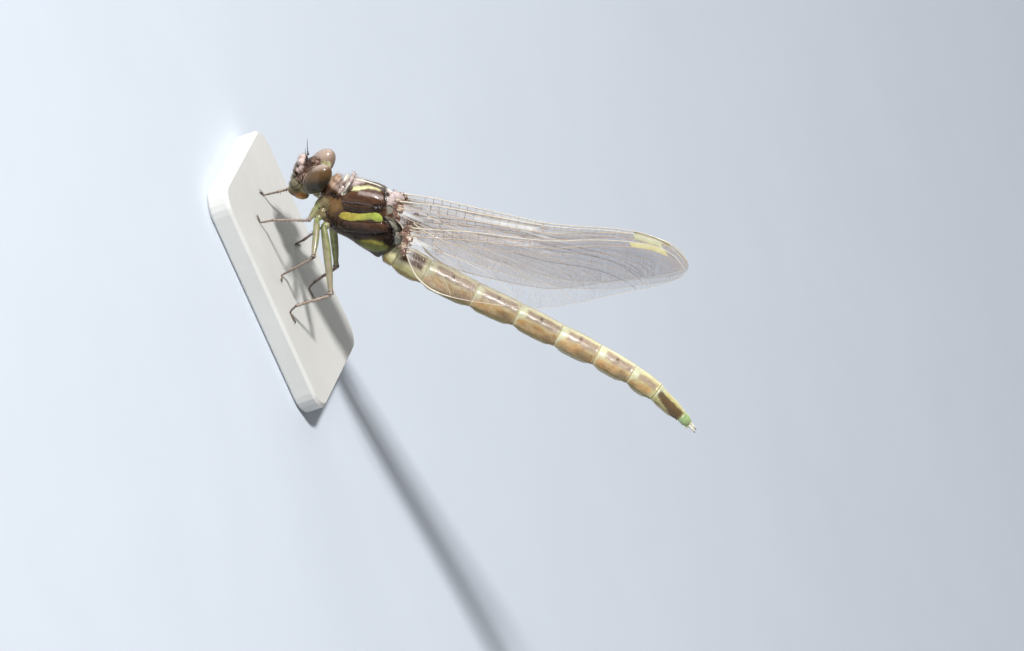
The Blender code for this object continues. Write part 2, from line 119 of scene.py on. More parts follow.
# Wings. SIDE: distance of the leading edge from the middle plane, at the root and from mid span on.
# LEAN: outward lean for each step behind the leading edge, at the root and at the tip.
# PLAN: share of the span, leading edge before the root-tip line, trailing edge behind it.
# NODUS, SPOT, FIRST_RUNG: shares of the span. SHINE: strength of the membrane's painted highlight strips.
# VEINS: long veins from front to back, each through (share of the span, distance behind the front).
WINGS = {
    "forewing": {
        "root": (3.6, 0, 4.5), "tip": (39.35, 0, 17.0), "side": (1.35, 0.42), "lean": (0.14, 0.1),
        "plan": (
            (0.0, 0.25, 2.1), (0.04, 0.42, 3.3), (0.09, 0.66, 4.3), (0.16, 0.82, 4.95),
            (0.26, 0.95, 5.45), (0.38, 1.14, 5.85), (0.48, 1.32, 6.1), (0.58, 1.85, 6.05),
            (0.66, 2.45, 5.55), (0.74, 2.95, 4.8), (0.81, 3.17, 3.85), (0.88, 2.95, 2.85),
            (0.93, 2.4, 2.05), (0.97, 1.45, 1.25), (0.995, 0.4, 0.4),
        ),
        "nodus": 0.485, "spot": (0.795, 0.895), "first_rung": 0.075, "shine": 1.0,
        "veins": (
            ("subcosta", ((0.0, 0.42), (0.1, 0.52), (0.3, 0.5), (0.44, 0.38), (0.485, 0.04))),
            ("radius", ((0.0, 0.85), (0.08, 0.98), (0.3, 1.0), (0.48, 0.92), (0.6, 0.84), (0.78, 0.74),
                        (0.9, 0.76), (0.96, 0.6), (0.995, 0.25))),
            ("sector", ((0.1, 1.45), (0.2, 1.8), (0.35, 1.85), (0.48, 1.78), (0.6, 1.62), (0.8, 1.8),
                        (0.9, 1.95), (0.96, 1.45), (0.99, 0.6))),
            ("sector_two", ((0.5, 1.8), (0.6, 2.45), (0.72, 3.2), (0.82, 4.2), (0.9, 5.6))),
            ("between", ((0.42, 1.85), (0.5, 2.35), (0.62, 3.1), (0.74, 4.05), (0.83, 5.3), (0.87, 6.3))),
            ("sector_three", ((0.3, 1.88), (0.4, 2.7), (0.5, 3.55), (0.6, 4.85), (0.68, 6.4),
                              (0.72, 7.7))),
            ("media_front", ((0.1, 1.6), (0.2, 2.5), (0.3, 3.0), (0.4, 3.6), (0.5, 4.4), (0.58, 5.6),
                             (0.67, 7.6))),
            ("media_back", ((0.165, 2.95), (0.25, 3.75), (0.35, 4.85), (0.43, 6.1), (0.5, 7.6))),
            ("cubitus", ((0.165, 3.35), (0.22, 4.25), (0.28, 5.25), (0.34, 6.4), (0.38, 7.5))),
            ("anal", ((0.0, 1.6), (0.08, 2.65), (0.15, 3.4), (0.2, 4.6), (0.26, 6.9))),
        ),
    },
    "hindwing": {
        "root": (6.4, 0, 2.6), "tip": (39.1, 0, 16.9), "side": (2.25, 1.36), "lean": (0.36, 0.12),
        "plan": (
            (0.0, 0.15, 2.9), (0.03, 0.2, 4.6), (0.06, 0.25, 5.8), (0.12, 0.45, 6.95),
            (0.2, 0.75, 7.45), (0.3, 0.9, 7.6), (0.42, 1.0, 7.55), (0.52, 1.3, 7.2),
            (0.62, 2.1, 6.05), (0.7, 2.6, 4.95), (0.78, 2.92, 3.8), (0.86, 2.98, 2.8),
            (0.92, 2.6, 1.95), (0.965, 1.7, 1.1), (0.995, 0.45, 0.4),
        ),
        "nodus": 0.43, "spot": (0.79, 0.925), "first_rung": 0.06, "shine": 0.35,
        "veins": (
            ("subcosta", ((0.0, 0.42), (0.1, 0.5), (0.28, 0.5), (0.39, 0.38), (0.43, 0.04))),
            ("radius", ((0.0, 0.85), (0.08, 0.95), (0.3, 0.98), (0.43, 0.92), (0.6, 0.84), (0.78, 0.64),
                        (0.92, 0.62), (0.97, 0.5), (0.995, 0.25))),
            ("sector", ((0.09, 1.4), (0.2, 1.78), (0.35, 1.82), (0.45, 1.78), (0.6, 1.7), (0.8, 1.85),
                        (0.9, 1.9), (0.96, 1.35), (0.99, 0.6))),
            ("sector_two", ((0.45, 1.8), (0.56, 2.45), (0.7, 3.2), (0.81, 4.2), (0.89, 5.4))),
            ("between", ((0.38, 1.84), (0.47, 2.4), (0.6, 3.2), (0.72, 4.2), (0.81, 5.4), (0.85, 6.4))),
            ("sector_three", ((0.27, 1.85), (0.38, 2.8), (0.48, 3.85), (0.58, 5.1), (0.66, 6.6),
                              (0.7, 8.1))),
            ("media_front", ((0.09, 1.6), (0.2, 2.55), (0.3, 3.25), (0.4, 4.1), (0.5, 5.2), (0.58, 6.6),
                             (0.64, 8.5))),
            ("media_back", ((0.13, 2.7), (0.2, 3.5), (0.3, 4.8), (0.38, 6.4), (0.45, 8.7))),
            ("cubitus", ((0.13, 3.1), (0.18, 4.3), (0.24, 5.8), (0.29, 7.2), (0.33, 8.6))),
            ("anal", ((0.0, 1.6), (0.07, 2.9), (0.11, 4.2), (0.15, 5.8), (0.19, 8.3))),
        ),
    },
}

# Camera: the direction it looks from, its roll and its place along that line
VIEW_AZIMUTH, VIEW_HEIGHT, VIEW_ROLL = math.radians(-17), math.radians(17), math.radians(71)
VIEW_AIM = (19.41, -14.5)  # across and up from the thorax centre, as the camera sees it
VIEW_DISTANCE = 1500.0
VIEW_WIDTH = 130.8
SENSOR = 36.0

# Studio: each lamp with its way as (right, up, back) of the camera, distance, width (None takes the
# key light's width from the settings) and power
LAMPS = (
    ("key_light", (0.25, 0.62, 0.66), 1.1, None, 14.0),
    ("top_light", (0.2, 0.95, -0.15), 1.0, 0.7, 2.6),
    ("fill_light", (-0.75, 0.1, 0.65), 1.2, 0.9, 1.0),
)
SKY = (0.93, 0.96, 1.0, 1.0)
SKY_STRENGTH = 0.24
FLOOR_REACH = 5.0


# ---------------------------------------------------------------- settings

def tint(name, description, default):
    return FloatVectorProperty(name=name, description=description, default=default, size=3,
                               min=0.0, max=1.0, subtype="COLOR")


def size(name, description, default):
    return FloatProperty(name=name, description=description, default=default, min=0.0, precision=3)


class DragonflySizes(PropertyGroup):
    """Fineness of the skins and sizes of the small parts, in millimetres."""
    skin_step: size("Skin step", "Step of the thorax skin's mesh, in mm", 0.075)
    head_step: size("Head step", "Step of the head skin's mesh, in mm", 0.055)
    abdomen_step: size("Abdomen step", "Step of the abdomen's mesh along the body, in mm", 0.085)
    hair_length: size("Hair length", "Length of the fine hairs, in mm", 0.46)
    hair_width: size("Hair width", "Width of a fine hair at its root, in mm", 0.0065)
    vein: size("Vein radius", "Radius of the front wing vein, in mm", 0.075)
    spine_length: size("Spine length", "Length of the spines on the legs, in mm", 0.55)
    key_size: FloatProperty(name="Key light width", description="Width of the soft key light",
                            default=0.16, min=0.01, unit="LENGTH")
    hairs: IntProperty(name="Hairs", description="Number of fine hairs", default=5600, min=0)


class DragonflyColours(PropertyGroup):
    """Colours of the animal and of the stage."""
    chestnut: tint("Chestnut", "Thorax sides", (0.1, 0.046, 0.024))
    # Deep brown is also the painted shade in the grooves of the skin, under the thorax and in the neck
    # hollow.
    deep_brown: tint("Deep brown", "Lower thorax and seams", (0.01, 0.0055, 0.003))
    stripe_yellow: tint("Stripe yellow", "Front of the side stripe", (0.5, 0.39, 0.06))
    stripe_green: tint("Stripe green", "Back of the side stripe", (0.4, 0.47, 0.09))
    shoulder: tint("Shoulder stripe", "Pale stripe on the shoulder", (0.78, 0.76, 0.4))
    collar: tint("Collar", "Pale collar and keel", (0.79, 0.765, 0.63))
    golden: tint("Golden", "Golden-brown front of the thorax", (0.2, 0.11, 0.04))
    coxa: tint("Coxa", "Olive tan of the leg sockets", (0.27, 0.215, 0.11))
    leaf: tint("Leaf", "Green patches low on the thorax", (0.15, 0.165, 0.028))
    grey_green: tint("Grey-green", "Skin between the wings", (0.3, 0.29, 0.23))
    neck: tint("Neck", "Pinkish tan of the neck plates", (0.52, 0.35, 0.24))
    # Mauve is also the colour of the thorax's painted highlights: its highlight band and the lit ridges.
    mauve: tint("Mauve", "Pinkish grey neck and dorsal shine", (0.65, 0.53, 0.5))
    face: tint("Face", "Brown of the face", (0.115, 0.055, 0.029))
    # This dark brown also paints the shade in the face's grooves and in the hollows by the brow and crown.
    face_dark: tint("Face grooves", "Dark brown of the face's grooves", (0.045, 0.022, 0.014))
    dome: tint("Brow domes", "Pale pink domes over the face", (0.7, 0.53, 0.48))
    lip: tint("Lip", "Olive green of the lower face", (0.18, 0.165, 0.075))
    jaw: tint("Jaw", "Orange of the jaw's hinge", (0.46, 0.22, 0.075))
    nape: tint("Nape", "Yellow-green back of the head", (0.33, 0.315, 0.15))
    eye_low: tint("Eye below", "Dark olive of the eye's lower part", (0.02, 0.015, 0.005))
    eye_mid: tint("Eye middle", "Amber band of the eye", (0.12, 0.062, 0.02))
    eye_top: tint("Eye above", "Pinkish grey of the eye's top", (0.46, 0.34, 0.27))
    tail_pale: tint("Abdomen pale", "Pale yellow-green of the abdomen", (0.72, 0.66, 0.4))
    tail_ring: tint("Abdomen ring", "Green rings at the joints", (0.64, 0.65, 0.44))
    tail_mauve: tint("Abdomen back", "Mauve-brown patches of the back", (0.31, 0.205, 0.163))
    tail_orange: tint("Abdomen side", "Orange-brown patches of the sides", (0.5, 0.26, 0.085))
    tail_late: tint("Abdomen late", "Yellow olive of segments eight and nine", (0.48, 0.42, 0.15))
    tail_olive: tint("Abdomen belly", "Olive belly", (0.185, 0.155, 0.05))
    tail_green: tint("Abdomen tip", "Bright green last segment", (0.33, 0.44, 0.19))
    leg_green: tint("Leg green", "Olive green of the thighs", (0.25, 0.265, 0.1))
    leg_brown: tint("Leg brown", "Grey-brown of shins and feet", (0.36, 0.275, 0.22))
    hair: tint("Hairs", "Fine hairs of head, thorax and abdomen", (0.46, 0.37, 0.3))
    spine: tint("Spines", "Spines, claws and feelers", (0.04, 0.026, 0.02))
    vein_pale: tint("Veins pale", "Cream of the front and hind wing edges", (0.78, 0.68, 0.52))
    vein_tan: tint("Veins tan", "Tan of the long veins", (0.58, 0.43, 0.31))
    vein_dark: tint("Veins dark", "Dark cross veins", (0.09, 0.062, 0.052))
    hinge: tint("Hinges", "Red-brown of the wing hinges", (0.17, 0.075, 0.042))
    film: tint("Membrane", "Smoky film of the wings", (0.27, 0.25, 0.28))
    # Membrane shine is also the colour of the wing film's painted highlights and glints.
    shine: tint("Membrane shine", "Milky white of the membrane's folds", (0.9, 0.88, 0.84))
    spot_warm: tint("Hind wing spot", "Yellow spot near each hind wing tip", (0.68, 0.6, 0.3))
    wing_spot: tint("Wing spot", "Yellow-green spot near each wing tip", (0.7, 0.69, 0.47))
    base: tint("Base", "Off-white paint of the base", (0.74, 0.73, 0.69))
    floor: tint("Floor", "Pale floor", (0.68, 0.73, 0.8))


def sizes():
    return bpy.context.scene.dragonfly_sizes


def colours():
    return bpy.context.scene.dragonfly_colours


# ---------------------------------------------------------------- numbers and shapes

def to_room(points):
    """Points of the body frame, in millimetres, as places in the room, in metres."""
    x, y, z = np.asarray(points, float).T
    c, s = math.cos(PITCH), math.sin(PITCH)
    return (np.stack([c * x - s * z, y, s * x + c * z], 1) + ORIGIN) * MM


def pitched(vectors):
    """Directions of the room, turned into the body frame."""
    x, y, z = np.asarray(vectors, float).T
    c, s = math.cos(PITCH), math.sin(PITCH)
    return np.stack([c * x + s * z, y, c * z - s * x], -1)


def from_ground(point):
    """A point counted from the ground under the thorax, in the body frame."""
    return pitched(GROUND + np.array(point, float) - ORIGIN)


def head_to_body(points):
    """Points of the head frame, in the body frame."""
    return np.asarray(points, float) @ np.array(HEAD_TURN).T + HEAD_CENTRE


def unit(vectors):
    """The same directions with a length of 1."""
    vectors = np.asarray(vectors, float)
    return vectors / np.maximum(np.linalg.norm(vectors, axis=-1, keepdims=True), 1e-9)


def step(low, high, values):
    """0 below low, 1 above high, smooth between."""
    t = np.clip((values - low) / (high - low), 0, 1)
    return t * t * (3 - 2 * t)


def bell(values, width):
    """1 at nought, fading away on both sides over a width."""
    return np.exp(-((values / width) ** 2))


def curve(points, count):
    """A smooth line through the points, read at even steps."""
    p = np.asarray(points, float)
    pad = np.vstack([2 * p[0] - p[1], p, 2 * p[-1] - p[-2]])
    u = np.linspace(0, len(p) - 1, count)
    i = np.minimum(u.astype(int), len(p) - 2)
    f = (u - i)[:, None]
    a, b, c, d = pad[i], pad[i + 1], pad[i + 2], pad[i + 3]
    return 0.5 * (2 * b + (c - a) * f + (2 * a - 5 * b + 4 * c - d) * f**2 + (3 * b - a - 3 * c + d) * f**3)


def span(start, full, fade, end, values):
    """1 between full and fade, 0 before start and after end, smooth between."""
    return step(start, full, values) * (1 - step(fade, end, values))


def line_distance(points, line):
    """Distance from each point to a line of straight pieces."""
    best = np.full(len(points), 1e9)
    line = np.asarray(line, float)
    for a, b in zip(line, line[1:]):
        way = b - a
        t = np.clip((points - a) @ way / (way @ way), 0, 1)
        best = np.minimum(best, np.linalg.norm(points - a - t[:, None] * way, axis=1))
    return best


def patch_depth(points, outline):
    """How far inside a closed flat outline each point lies, and below 0 outside it."""
    closed = list(outline) + [outline[0]]
    inside = np.zeros(len(points), bool)
    across, up = points.T
    for (ax, az), (bx, bz) in zip(closed, closed[1:]):
        if az != bz:
            crossing = (az > up) != (bz > up)
            inside ^= crossing & (across < ax + (up - az) * (bx - ax) / (bz - az))
    edge = line_distance(points, closed)
    return np.where(inside, edge, -edge)


def pillow(depth, width):
    """A plate's rounded swelling: 0 at its edge, 1 from a given width inwards."""
    return np.sqrt(1 - (1 - np.clip(depth / width, 0, 1)) ** 2)


def ring_faces(rings, sides, closed=True):
    """Quads between rings of points, with a face over each end if closed."""
    r, k = np.meshgrid(np.arange(rings - 1), np.arange(sides), indexing="ij")
    a, b = r * sides + k, r * sides + (k + 1) % sides
    faces = np.stack([a, b, b + sides, a + sides], -1).reshape(-1, 4).tolist()
    if closed:
        faces.append(list(range(sides))[::-1])
        faces.append(list(range((rings - 1) * sides, rings * sides)))
    return faces


def tube(points, radii, sides):
    """A round limb through the points."""
    points = np.asarray(points, float)
    radii = np.broadcast_to(np.asarray(radii, float), len(points))
    ahead = unit(np.gradient(points, axis=0))
    side = np.cross(ahead[0], (0.31, 0.88, 0.36))
    frames = []
    for way in ahead:
        side = unit(side - way * (side @ way))
        frames.append((side, np.cross(way, side)))
    turn = 2 * math.pi * np.arange(sides) / sides
    rings = [
        p + r * (np.cos(turn)[:, None] * a + np.sin(turn)[:, None] * b)
        for p, r, (a, b) in zip(points, radii, frames)
    ]
    return np.concatenate(rings), ring_faces(len(points), sides)


def ball(centre, radii, across=24, up=14, turn=None):
    """An egg: its poles on its own z axis."""
    levels = np.linspace(-math.pi / 2, math.pi / 2, up + 1)[1:-1]
    turns = 2 * math.pi * np.arange(across) / across
    lat, lon = np.meshgrid(levels, turns, indexing="ij")
    points = np.stack([np.cos(lat) * np.cos(lon), np.cos(lat) * np.sin(lon), np.sin(lat)], -1)
    points = points.reshape(-1, 3)
    low, high = len(points), len(points) + 1
    points = np.vstack([points, (0, 0, -1), (0, 0, 1)]) * np.asarray(radii, float)
    faces = ring_faces(up - 1, across, closed=False)
    last = (up - 2) * across
    for k in range(across):
        n = (k + 1) % across
        faces.append([low, n, k])
        faces.append([high, last + k, last + n])
    if turn is not None:
        points = points @ np.array(turn).T
    return points + np.asarray(centre, float), faces


def sticks(starts, ends, radii):
    """Many short straight rods with four sides at once."""
    way = unit(ends - starts)
    side = unit(np.cross(way, (0.13, 0.97, 0.21)))
    up = np.cross(way, side)
    turn = 2 * math.pi * (np.arange(4) + 0.5) / 4
    spoke = np.cos(turn)[None, :, None] * side[:, None] + np.sin(turn)[None, :, None] * up[:, None]
    spoke = spoke * radii.reshape(-1, 1, 1)
    points = np.concatenate([starts[:, None] + spoke, ends[:, None] + spoke], 1)
    faces = np.array(ring_faces(2, 4))[None] + 8 * np.arange(len(starts))[:, None, None]
    return points.reshape(-1, 3), faces.reshape(-1, 4).tolist()


def slanted_rings(rings, count):
    """Middle, rise and half width of slanted rings, smooth between the ones given."""
    flat = np.array([(*belly, *back, wide) for belly, back, wide in rings])
    for bx, bz, tx, tz, wide in curve(flat, count):
        yield np.array([(bx + tx) / 2, 0, (bz + tz) / 2]), np.array([(tx - bx) / 2, 0, (tz - bz) / 2]), wide


class Heap:
    """Small shapes on their way to one mesh, with named values for their points."""

    def __init__(self):
        self.points, self.faces, self.values, self.count = [], [], {}, 0

    def add(self, shape, **values):
        points, faces = shape
        start = self.count
        self.points.append(points)
        self.faces += [[v + start for v in face] for face in faces]
        for name, value in values.items():
            given = np.broadcast_to(np.asarray(value, float), len(points))
            self.values.setdefault(name, []).append(given)
        self.count += len(points)

    def done(self):
        values = {name: np.concatenate(given) for name, given in self.values.items()}
        return np.concatenate(self.points), self.faces, values


class Skin:
    """A closed skin whose points can be pushed along their normals."""

    def __init__(self, points, faces):
        self.points, self.faces = points, faces

    def normals(self):
        quads = self.points[self.faces]
        face = np.cross(quads[:, 2] - quads[:, 0], quads[:, 3] - quads[:, 1])
        total = np.zeros_like(self.points)
        for k in range(4):
            np.add.at(total, self.faces[:, k], face)
        return unit(total)

    def push(self, amount):
        self.points = self.points + self.normals() * amount[:, None]

    def smoothed(self, values, rounds):
        """Values averaged over the neighbouring points, several times."""
        share = np.zeros(len(self.points))
        np.add.at(share, self.faces.ravel(), 1.0)
        flat = values.reshape(len(values), -1).astype(float)
        for _ in range(rounds):
            total = np.zeros_like(flat)
            middle = flat[self.faces].mean(1)
            for k in range(4):
                np.add.at(total, self.faces[:, k], middle)
            flat = total / share[:, None]
        return flat.reshape(values.shape)

    def creases(self, rounds=5, deep=0.035):
        """How hollow the skin is at each point: 1 in a deep groove, below 0 on a ridge."""
        gap = self.smoothed(self.points, rounds) - self.points
        return np.clip((gap * self.normals()).sum(1) / deep, -1, 1)


def fuse(heap, voxel, softening):
    """One closed skin round shapes that run into each other."""
    points, faces, _ = heap.done()
    mesh = bpy.data.meshes.new("fusing")
    mesh.from_pydata(points.tolist(), [], faces)
    made = bpy.data.objects.new("fusing", mesh)
    bpy.context.scene.collection.objects.link(made)
    joined = made.modifiers.new("one_skin", "REMESH")
    joined.mode = "VOXEL"
    joined.voxel_size = voxel
    soft = made.modifiers.new("soften", "SMOOTH")
    soft.factor = 0.5
    soft.iterations = softening
    final = made.evaluated_get(bpy.context.evaluated_depsgraph_get()).to_mesh()
    out = np.zeros(len(final.vertices) * 3)
    final.vertices.foreach_get("co", out)
    corners = np.zeros(len(final.loops), int)
    final.loops.foreach_get("vertex_index", corners)
    bpy.data.objects.remove(made)
    bpy.data.meshes.remove(mesh)
    return Skin(out.reshape(-1, 3), corners.reshape(-1, 4))


def piece(name, points, faces, finish, replaces=(), values=None, place=None):
    """A finished mesh that rides on the body and stands for the named CAD nodes."""
    mesh = bpy.data.meshes.new(name)
    mesh.from_pydata(to_room(points).tolist(), [], faces if isinstance(faces, list) else faces.tolist())
    bm = bmesh.new()
    bm.from_mesh(mesh)
    bmesh.ops.recalc_face_normals(bm, faces=bm.faces)
    bm.to_mesh(mesh)
    bm.free()
    mesh.shade_smooth()
    for key, value in (values or {}).items():
        mesh.attributes.new(key, "FLOAT", "POINT").data.foreach_set("value", np.asarray(value, np.float32))
    spot = np.asarray(points if place is None else place, np.float32)
    mesh.attributes.new("place", "FLOAT_VECTOR", "POINT").data.foreach_set("vector", spot.ravel())
    mesh.materials.append(finish)
    made = bpy.data.objects.new(name, mesh)
    bpy.context.scene.collection.objects.link(made)
    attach(made, "root")
    if replaces:
        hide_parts(*replaces)
    return made


# ---------------------------------------------------------------- node groups shared by the finishes

class Graph:
    """Short ways to add nodes to one tree."""

    def __init__(self, tree):
        self.tree = tree

    def add(self, kind, links=(), **settings):
        node = self.tree.nodes.new(kind)
        for key, value in settings.items():
            setattr(node, key, value)
        for key, value in dict(links).items():
            self.feed(node.inputs[key], value)
        return node

    def feed(self, socket, value):
        if isinstance(value, bpy.types.NodeSocket):
            self.tree.links.new(value, socket)
        elif isinstance(value, (float, int)):
            socket.default_value = value
        else:
            full = len(socket.default_value)
            socket.default_value = (*value, 1.0)[:full]

    def maths(self, operation, a, b):
        return self.add("ShaderNodeMath", {0: a, 1: b}, operation=operation).outputs[0]

    def noise(self, place, scale, detail=3.0, roughness=0.55):
        links = {"Vector": place, "Scale": scale, "Detail": detail, "Roughness": roughness}
        return self.add("ShaderNodeTexNoise", links).outputs["Fac"]

    def ramp(self, value, low, high):
        links = {"Value": value, "From Min": low, "From Max": high}
        return self.add("ShaderNodeMapRange", links, interpolation_type="SMOOTHSTEP").outputs["Result"]

    def mix(self, mask, a, b):
        node = self.tree.nodes.new("ShaderNodeMix")
        node.data_type = "RGBA"
        factor, first, second = node.inputs[0], node.inputs[6], node.inputs[7]
        for socket, value in ((factor, mask), (first, a), (second, b)):
            self.feed(socket, value)
        return node.outputs[2]

    def share(self, value, amount):
        """A part of a value."""
        return self.maths("MULTIPLY", value, amount)

    def swing(self, value, amount):
        """A value round one half, as a swing to either side of nought."""
        return self.share(self.maths("SUBTRACT", value, 0.5), amount)


def group(name, inputs, outputs, build):
    """A node group with named sockets, made once."""
    tree = bpy.data.node_groups.get(name)
    if tree is not None:
        return tree
    tree = bpy.data.node_groups.new(name, "ShaderNodeTree")
    for label, kind, default in inputs:
        socket = tree.interface.new_socket(label, in_out="INPUT", socket_type=kind)
        if default is not None:
            socket.default_value = default
    for label, kind in outputs:
        tree.interface.new_socket(label, in_out="OUTPUT", socket_type=kind)
    graph = Graph(tree)
    entry = tree.nodes.new("NodeGroupInput")
    leave = tree.nodes.new("NodeGroupOutput")
    for label, socket in build(graph, entry.outputs).items():
        tree.links.new(socket, leave.inputs[label])
    return tree


VALUE, COLOUR, VECTOR = "NodeSocketFloat", "NodeSocketColor", "NodeSocketVector"


def marking_group():
    """A mask over a marking: the depth inside its outline, with a soft and slightly ragged edge."""
    def build(g, i):
        shift = g.swing(g.noise(i["Place"], i["Grain"], 4.0), g.share(i["Ragged"], 2.0))
        depth = g.maths("ADD", i["Depth"], shift)
        return {"Mask": g.ramp(depth, g.share(i["Soft"], -1.0), i["Soft"])}
    inputs = (("Place", VECTOR, None), ("Depth", VALUE, 0.0), ("Soft", VALUE, 0.1),
              ("Ragged", VALUE, 0.1), ("Grain", VALUE, 2.0))
    return group("marking", inputs, (("Mask", VALUE),), build)


def mottle_group():
    """Uneven pigment: cloudy light and dark over a colour, with finer specks."""
    def build(g, i):
        cloud = g.noise(i["Place"], i["Scale"], 4.0, 0.6)
        speck = g.noise(i["Place"], g.share(i["Scale"], 7.0), 2.0)
        both = g.maths("ADD", g.share(cloud, 0.72), g.share(speck, 0.28))
        low = g.maths("SUBTRACT", 1.0, i["Amount"])
        high = g.maths("ADD", 1.0, i["Amount"])
        links = {"Value": both, "From Min": 0.32, "From Max": 0.68, "To Min": low, "To Max": high}
        level = g.add("ShaderNodeMapRange", links).outputs["Result"]
        shade = g.add("ShaderNodeHueSaturation", {"Value": level, "Color": i["Colour"]})
        return {"Colour": shade.outputs[0]}
    inputs = (("Colour", COLOUR, None), ("Place", VECTOR, None),
              ("Scale", VALUE, 0.8), ("Amount", VALUE, 0.2))
    return group("mottle", inputs, (("Colour", COLOUR),), build)


def crease_shading_group():
    """Painted shade and highlight: darkens a colour in the grooves of a skin, where shade falls, and
    lightens its ridges as if lit.
    """
    def build(g, i):
        groove = g.share(g.ramp(i["Crease"], 0.08, 0.75), i["Amount"])
        ridge = g.share(g.ramp(g.share(i["Crease"], -1.0), 0.1, 0.9), i["Lift"])
        deep = g.mix(groove, i["Colour"], i["Groove"])
        return {"Colour": g.mix(ridge, deep, i["Ridge"])}
    inputs = (("Colour", COLOUR, None), ("Crease", VALUE, 0.0), ("Groove", COLOUR, None),
              ("Ridge", COLOUR, None), ("Amount", VALUE, 0.8), ("Lift", VALUE, 0.2))
    return group("crease_shading", inputs, (("Colour", COLOUR),), build)


def shell_group():
    """Fine relief of an insect's shell: shallow pits and faint wrinkles, and the roughness they give."""
    def build(g, i):
        pits = g.add("ShaderNodeTexVoronoi", {"Vector": i["Place"], "Scale": i["Pits"]}).outputs["Distance"]
        wrinkle = g.noise(i["Place"], i["Wrinkles"], 5.0, 0.6)
        height = g.maths("ADD", g.share(pits, i["Pit depth"]), g.share(wrinkle, i["Wrinkle depth"]))
        wear = g.noise(i["Place"], g.share(i["Wrinkles"], 0.35), 3.0)
        return {"Height": height, "Roughness": g.maths("ADD", i["Roughness"], g.swing(wear, 0.25))}
    inputs = (("Place", VECTOR, None), ("Pits", VALUE, 9.0), ("Pit depth", VALUE, 0.3),
              ("Wrinkles", VALUE, 3.0), ("Wrinkle depth", VALUE, 0.7), ("Roughness", VALUE, 0.3))
    return group("shell", inputs, (("Height", VALUE), ("Roughness", VALUE)), build)


def streak_group():
    """Fine streaks drawn out along one axis, such as muscle showing through thin shell."""
    def build(g, i):
        drawn = g.add("ShaderNodeVectorMath", {0: i["Place"], 1: i["Stretch"]}, operation="MULTIPLY")
        fine = g.noise(drawn.outputs[0], i["Scale"], 5.0, 0.65)
        return {"Mask": g.ramp(fine, 0.38, 0.62)}
    inputs = (("Place", VECTOR, None), ("Stretch", VECTOR, (0.25, 1.0, 1.0)), ("Scale", VALUE, 2.0))
    return group("streak", inputs, (("Mask", VALUE),), build)


class Finish(Graph):
    """One material: a Principled shader and the nodes that feed it."""

    def __init__(self, name, **plain):
        self.material = bpy.data.materials.new(name)
        self.material.use_nodes = True
        super().__init__(self.material.node_tree)
        self.shader = self.tree.nodes["Principled BSDF"]
        self.place = self.read("place", "Vector")
        for label, value in plain.items():
            self.feed(self.shader.inputs[label.replace("_", " ")], value)

    def read(self, attribute, output="Fac"):
        node = self.add("ShaderNodeAttribute")
        node.attribute_name = attribute
        return node.outputs[output]

    def use(self, tree, **links):
        node = self.add("ShaderNodeGroup")
        node.node_tree = tree
        if "Place" in node.inputs:
            links = {"Place": self.place, **links}
        for label, value in links.items():
            self.feed(node.inputs[label], value)
        return node.outputs

    def marking(self, attribute, soft, ragged, grain, strength):
        """The mask of one of the skin's markings."""
        edge = {"Soft": soft, "Ragged": ragged, "Grain": grain}
        mask = self.use(marking_group(), Depth=self.read(attribute), **edge)["Mask"]
        return mask if strength == 1.0 else self.share(mask, strength)

    def streaks(self, stretch, scale):
        return self.use(streak_group(), Stretch=stretch, Scale=scale)["Mask"]

    def mottled(self, colour, scale, amount):
        return self.use(mottle_group(), Colour=colour, Scale=scale, Amount=amount)["Colour"]

    # Painted shade in the skin's grooves and a painted highlight on its ridges.
    def crease_shaded(self, colour, groove, ridge, amount, lift):
        links = {"Crease": self.read("crease_shading"), "Groove": groove, "Ridge": ridge}
        return self.use(crease_shading_group(), Colour=colour, Amount=amount, Lift=lift, **links)["Colour"]

    def marked(self, colour, *markings):
        """Paints markings over a colour: each with its edge, the grain of that edge, strength and colour."""
        for name, soft, ragged, grain, strength, over in markings:
            colour = self.mix(self.marking(name, soft, ragged, grain, strength), colour, over)
        return colour

    def bumps(self, height, strength, depth_mm):
        """Stands the surface up by a height, and gives the node."""
        links = {"Height": height, "Strength": strength, "Distance": depth_mm * MM}
        bump = self.add("ShaderNodeBump", links)
        self.feed(self.shader.inputs["Normal"], bump.outputs[0])
        return bump

    def relief(self, roughness, strength, depth_mm, **shape):
        shell = self.use(shell_group(), Roughness=roughness, **shape)
        self.bumps(shell["Height"], strength, depth_mm)
        self.feed(self.shader.inputs["Roughness"], shell["Roughness"])

    def paint(self, colour):
        self.feed(self.shader.inputs["Base Color"], colour)
        return self.material


# ---------------------------------------------------------------- finishes

# Each row of marked() reads: marking, softness of its edge, how ragged it is, grain, strength, colour.

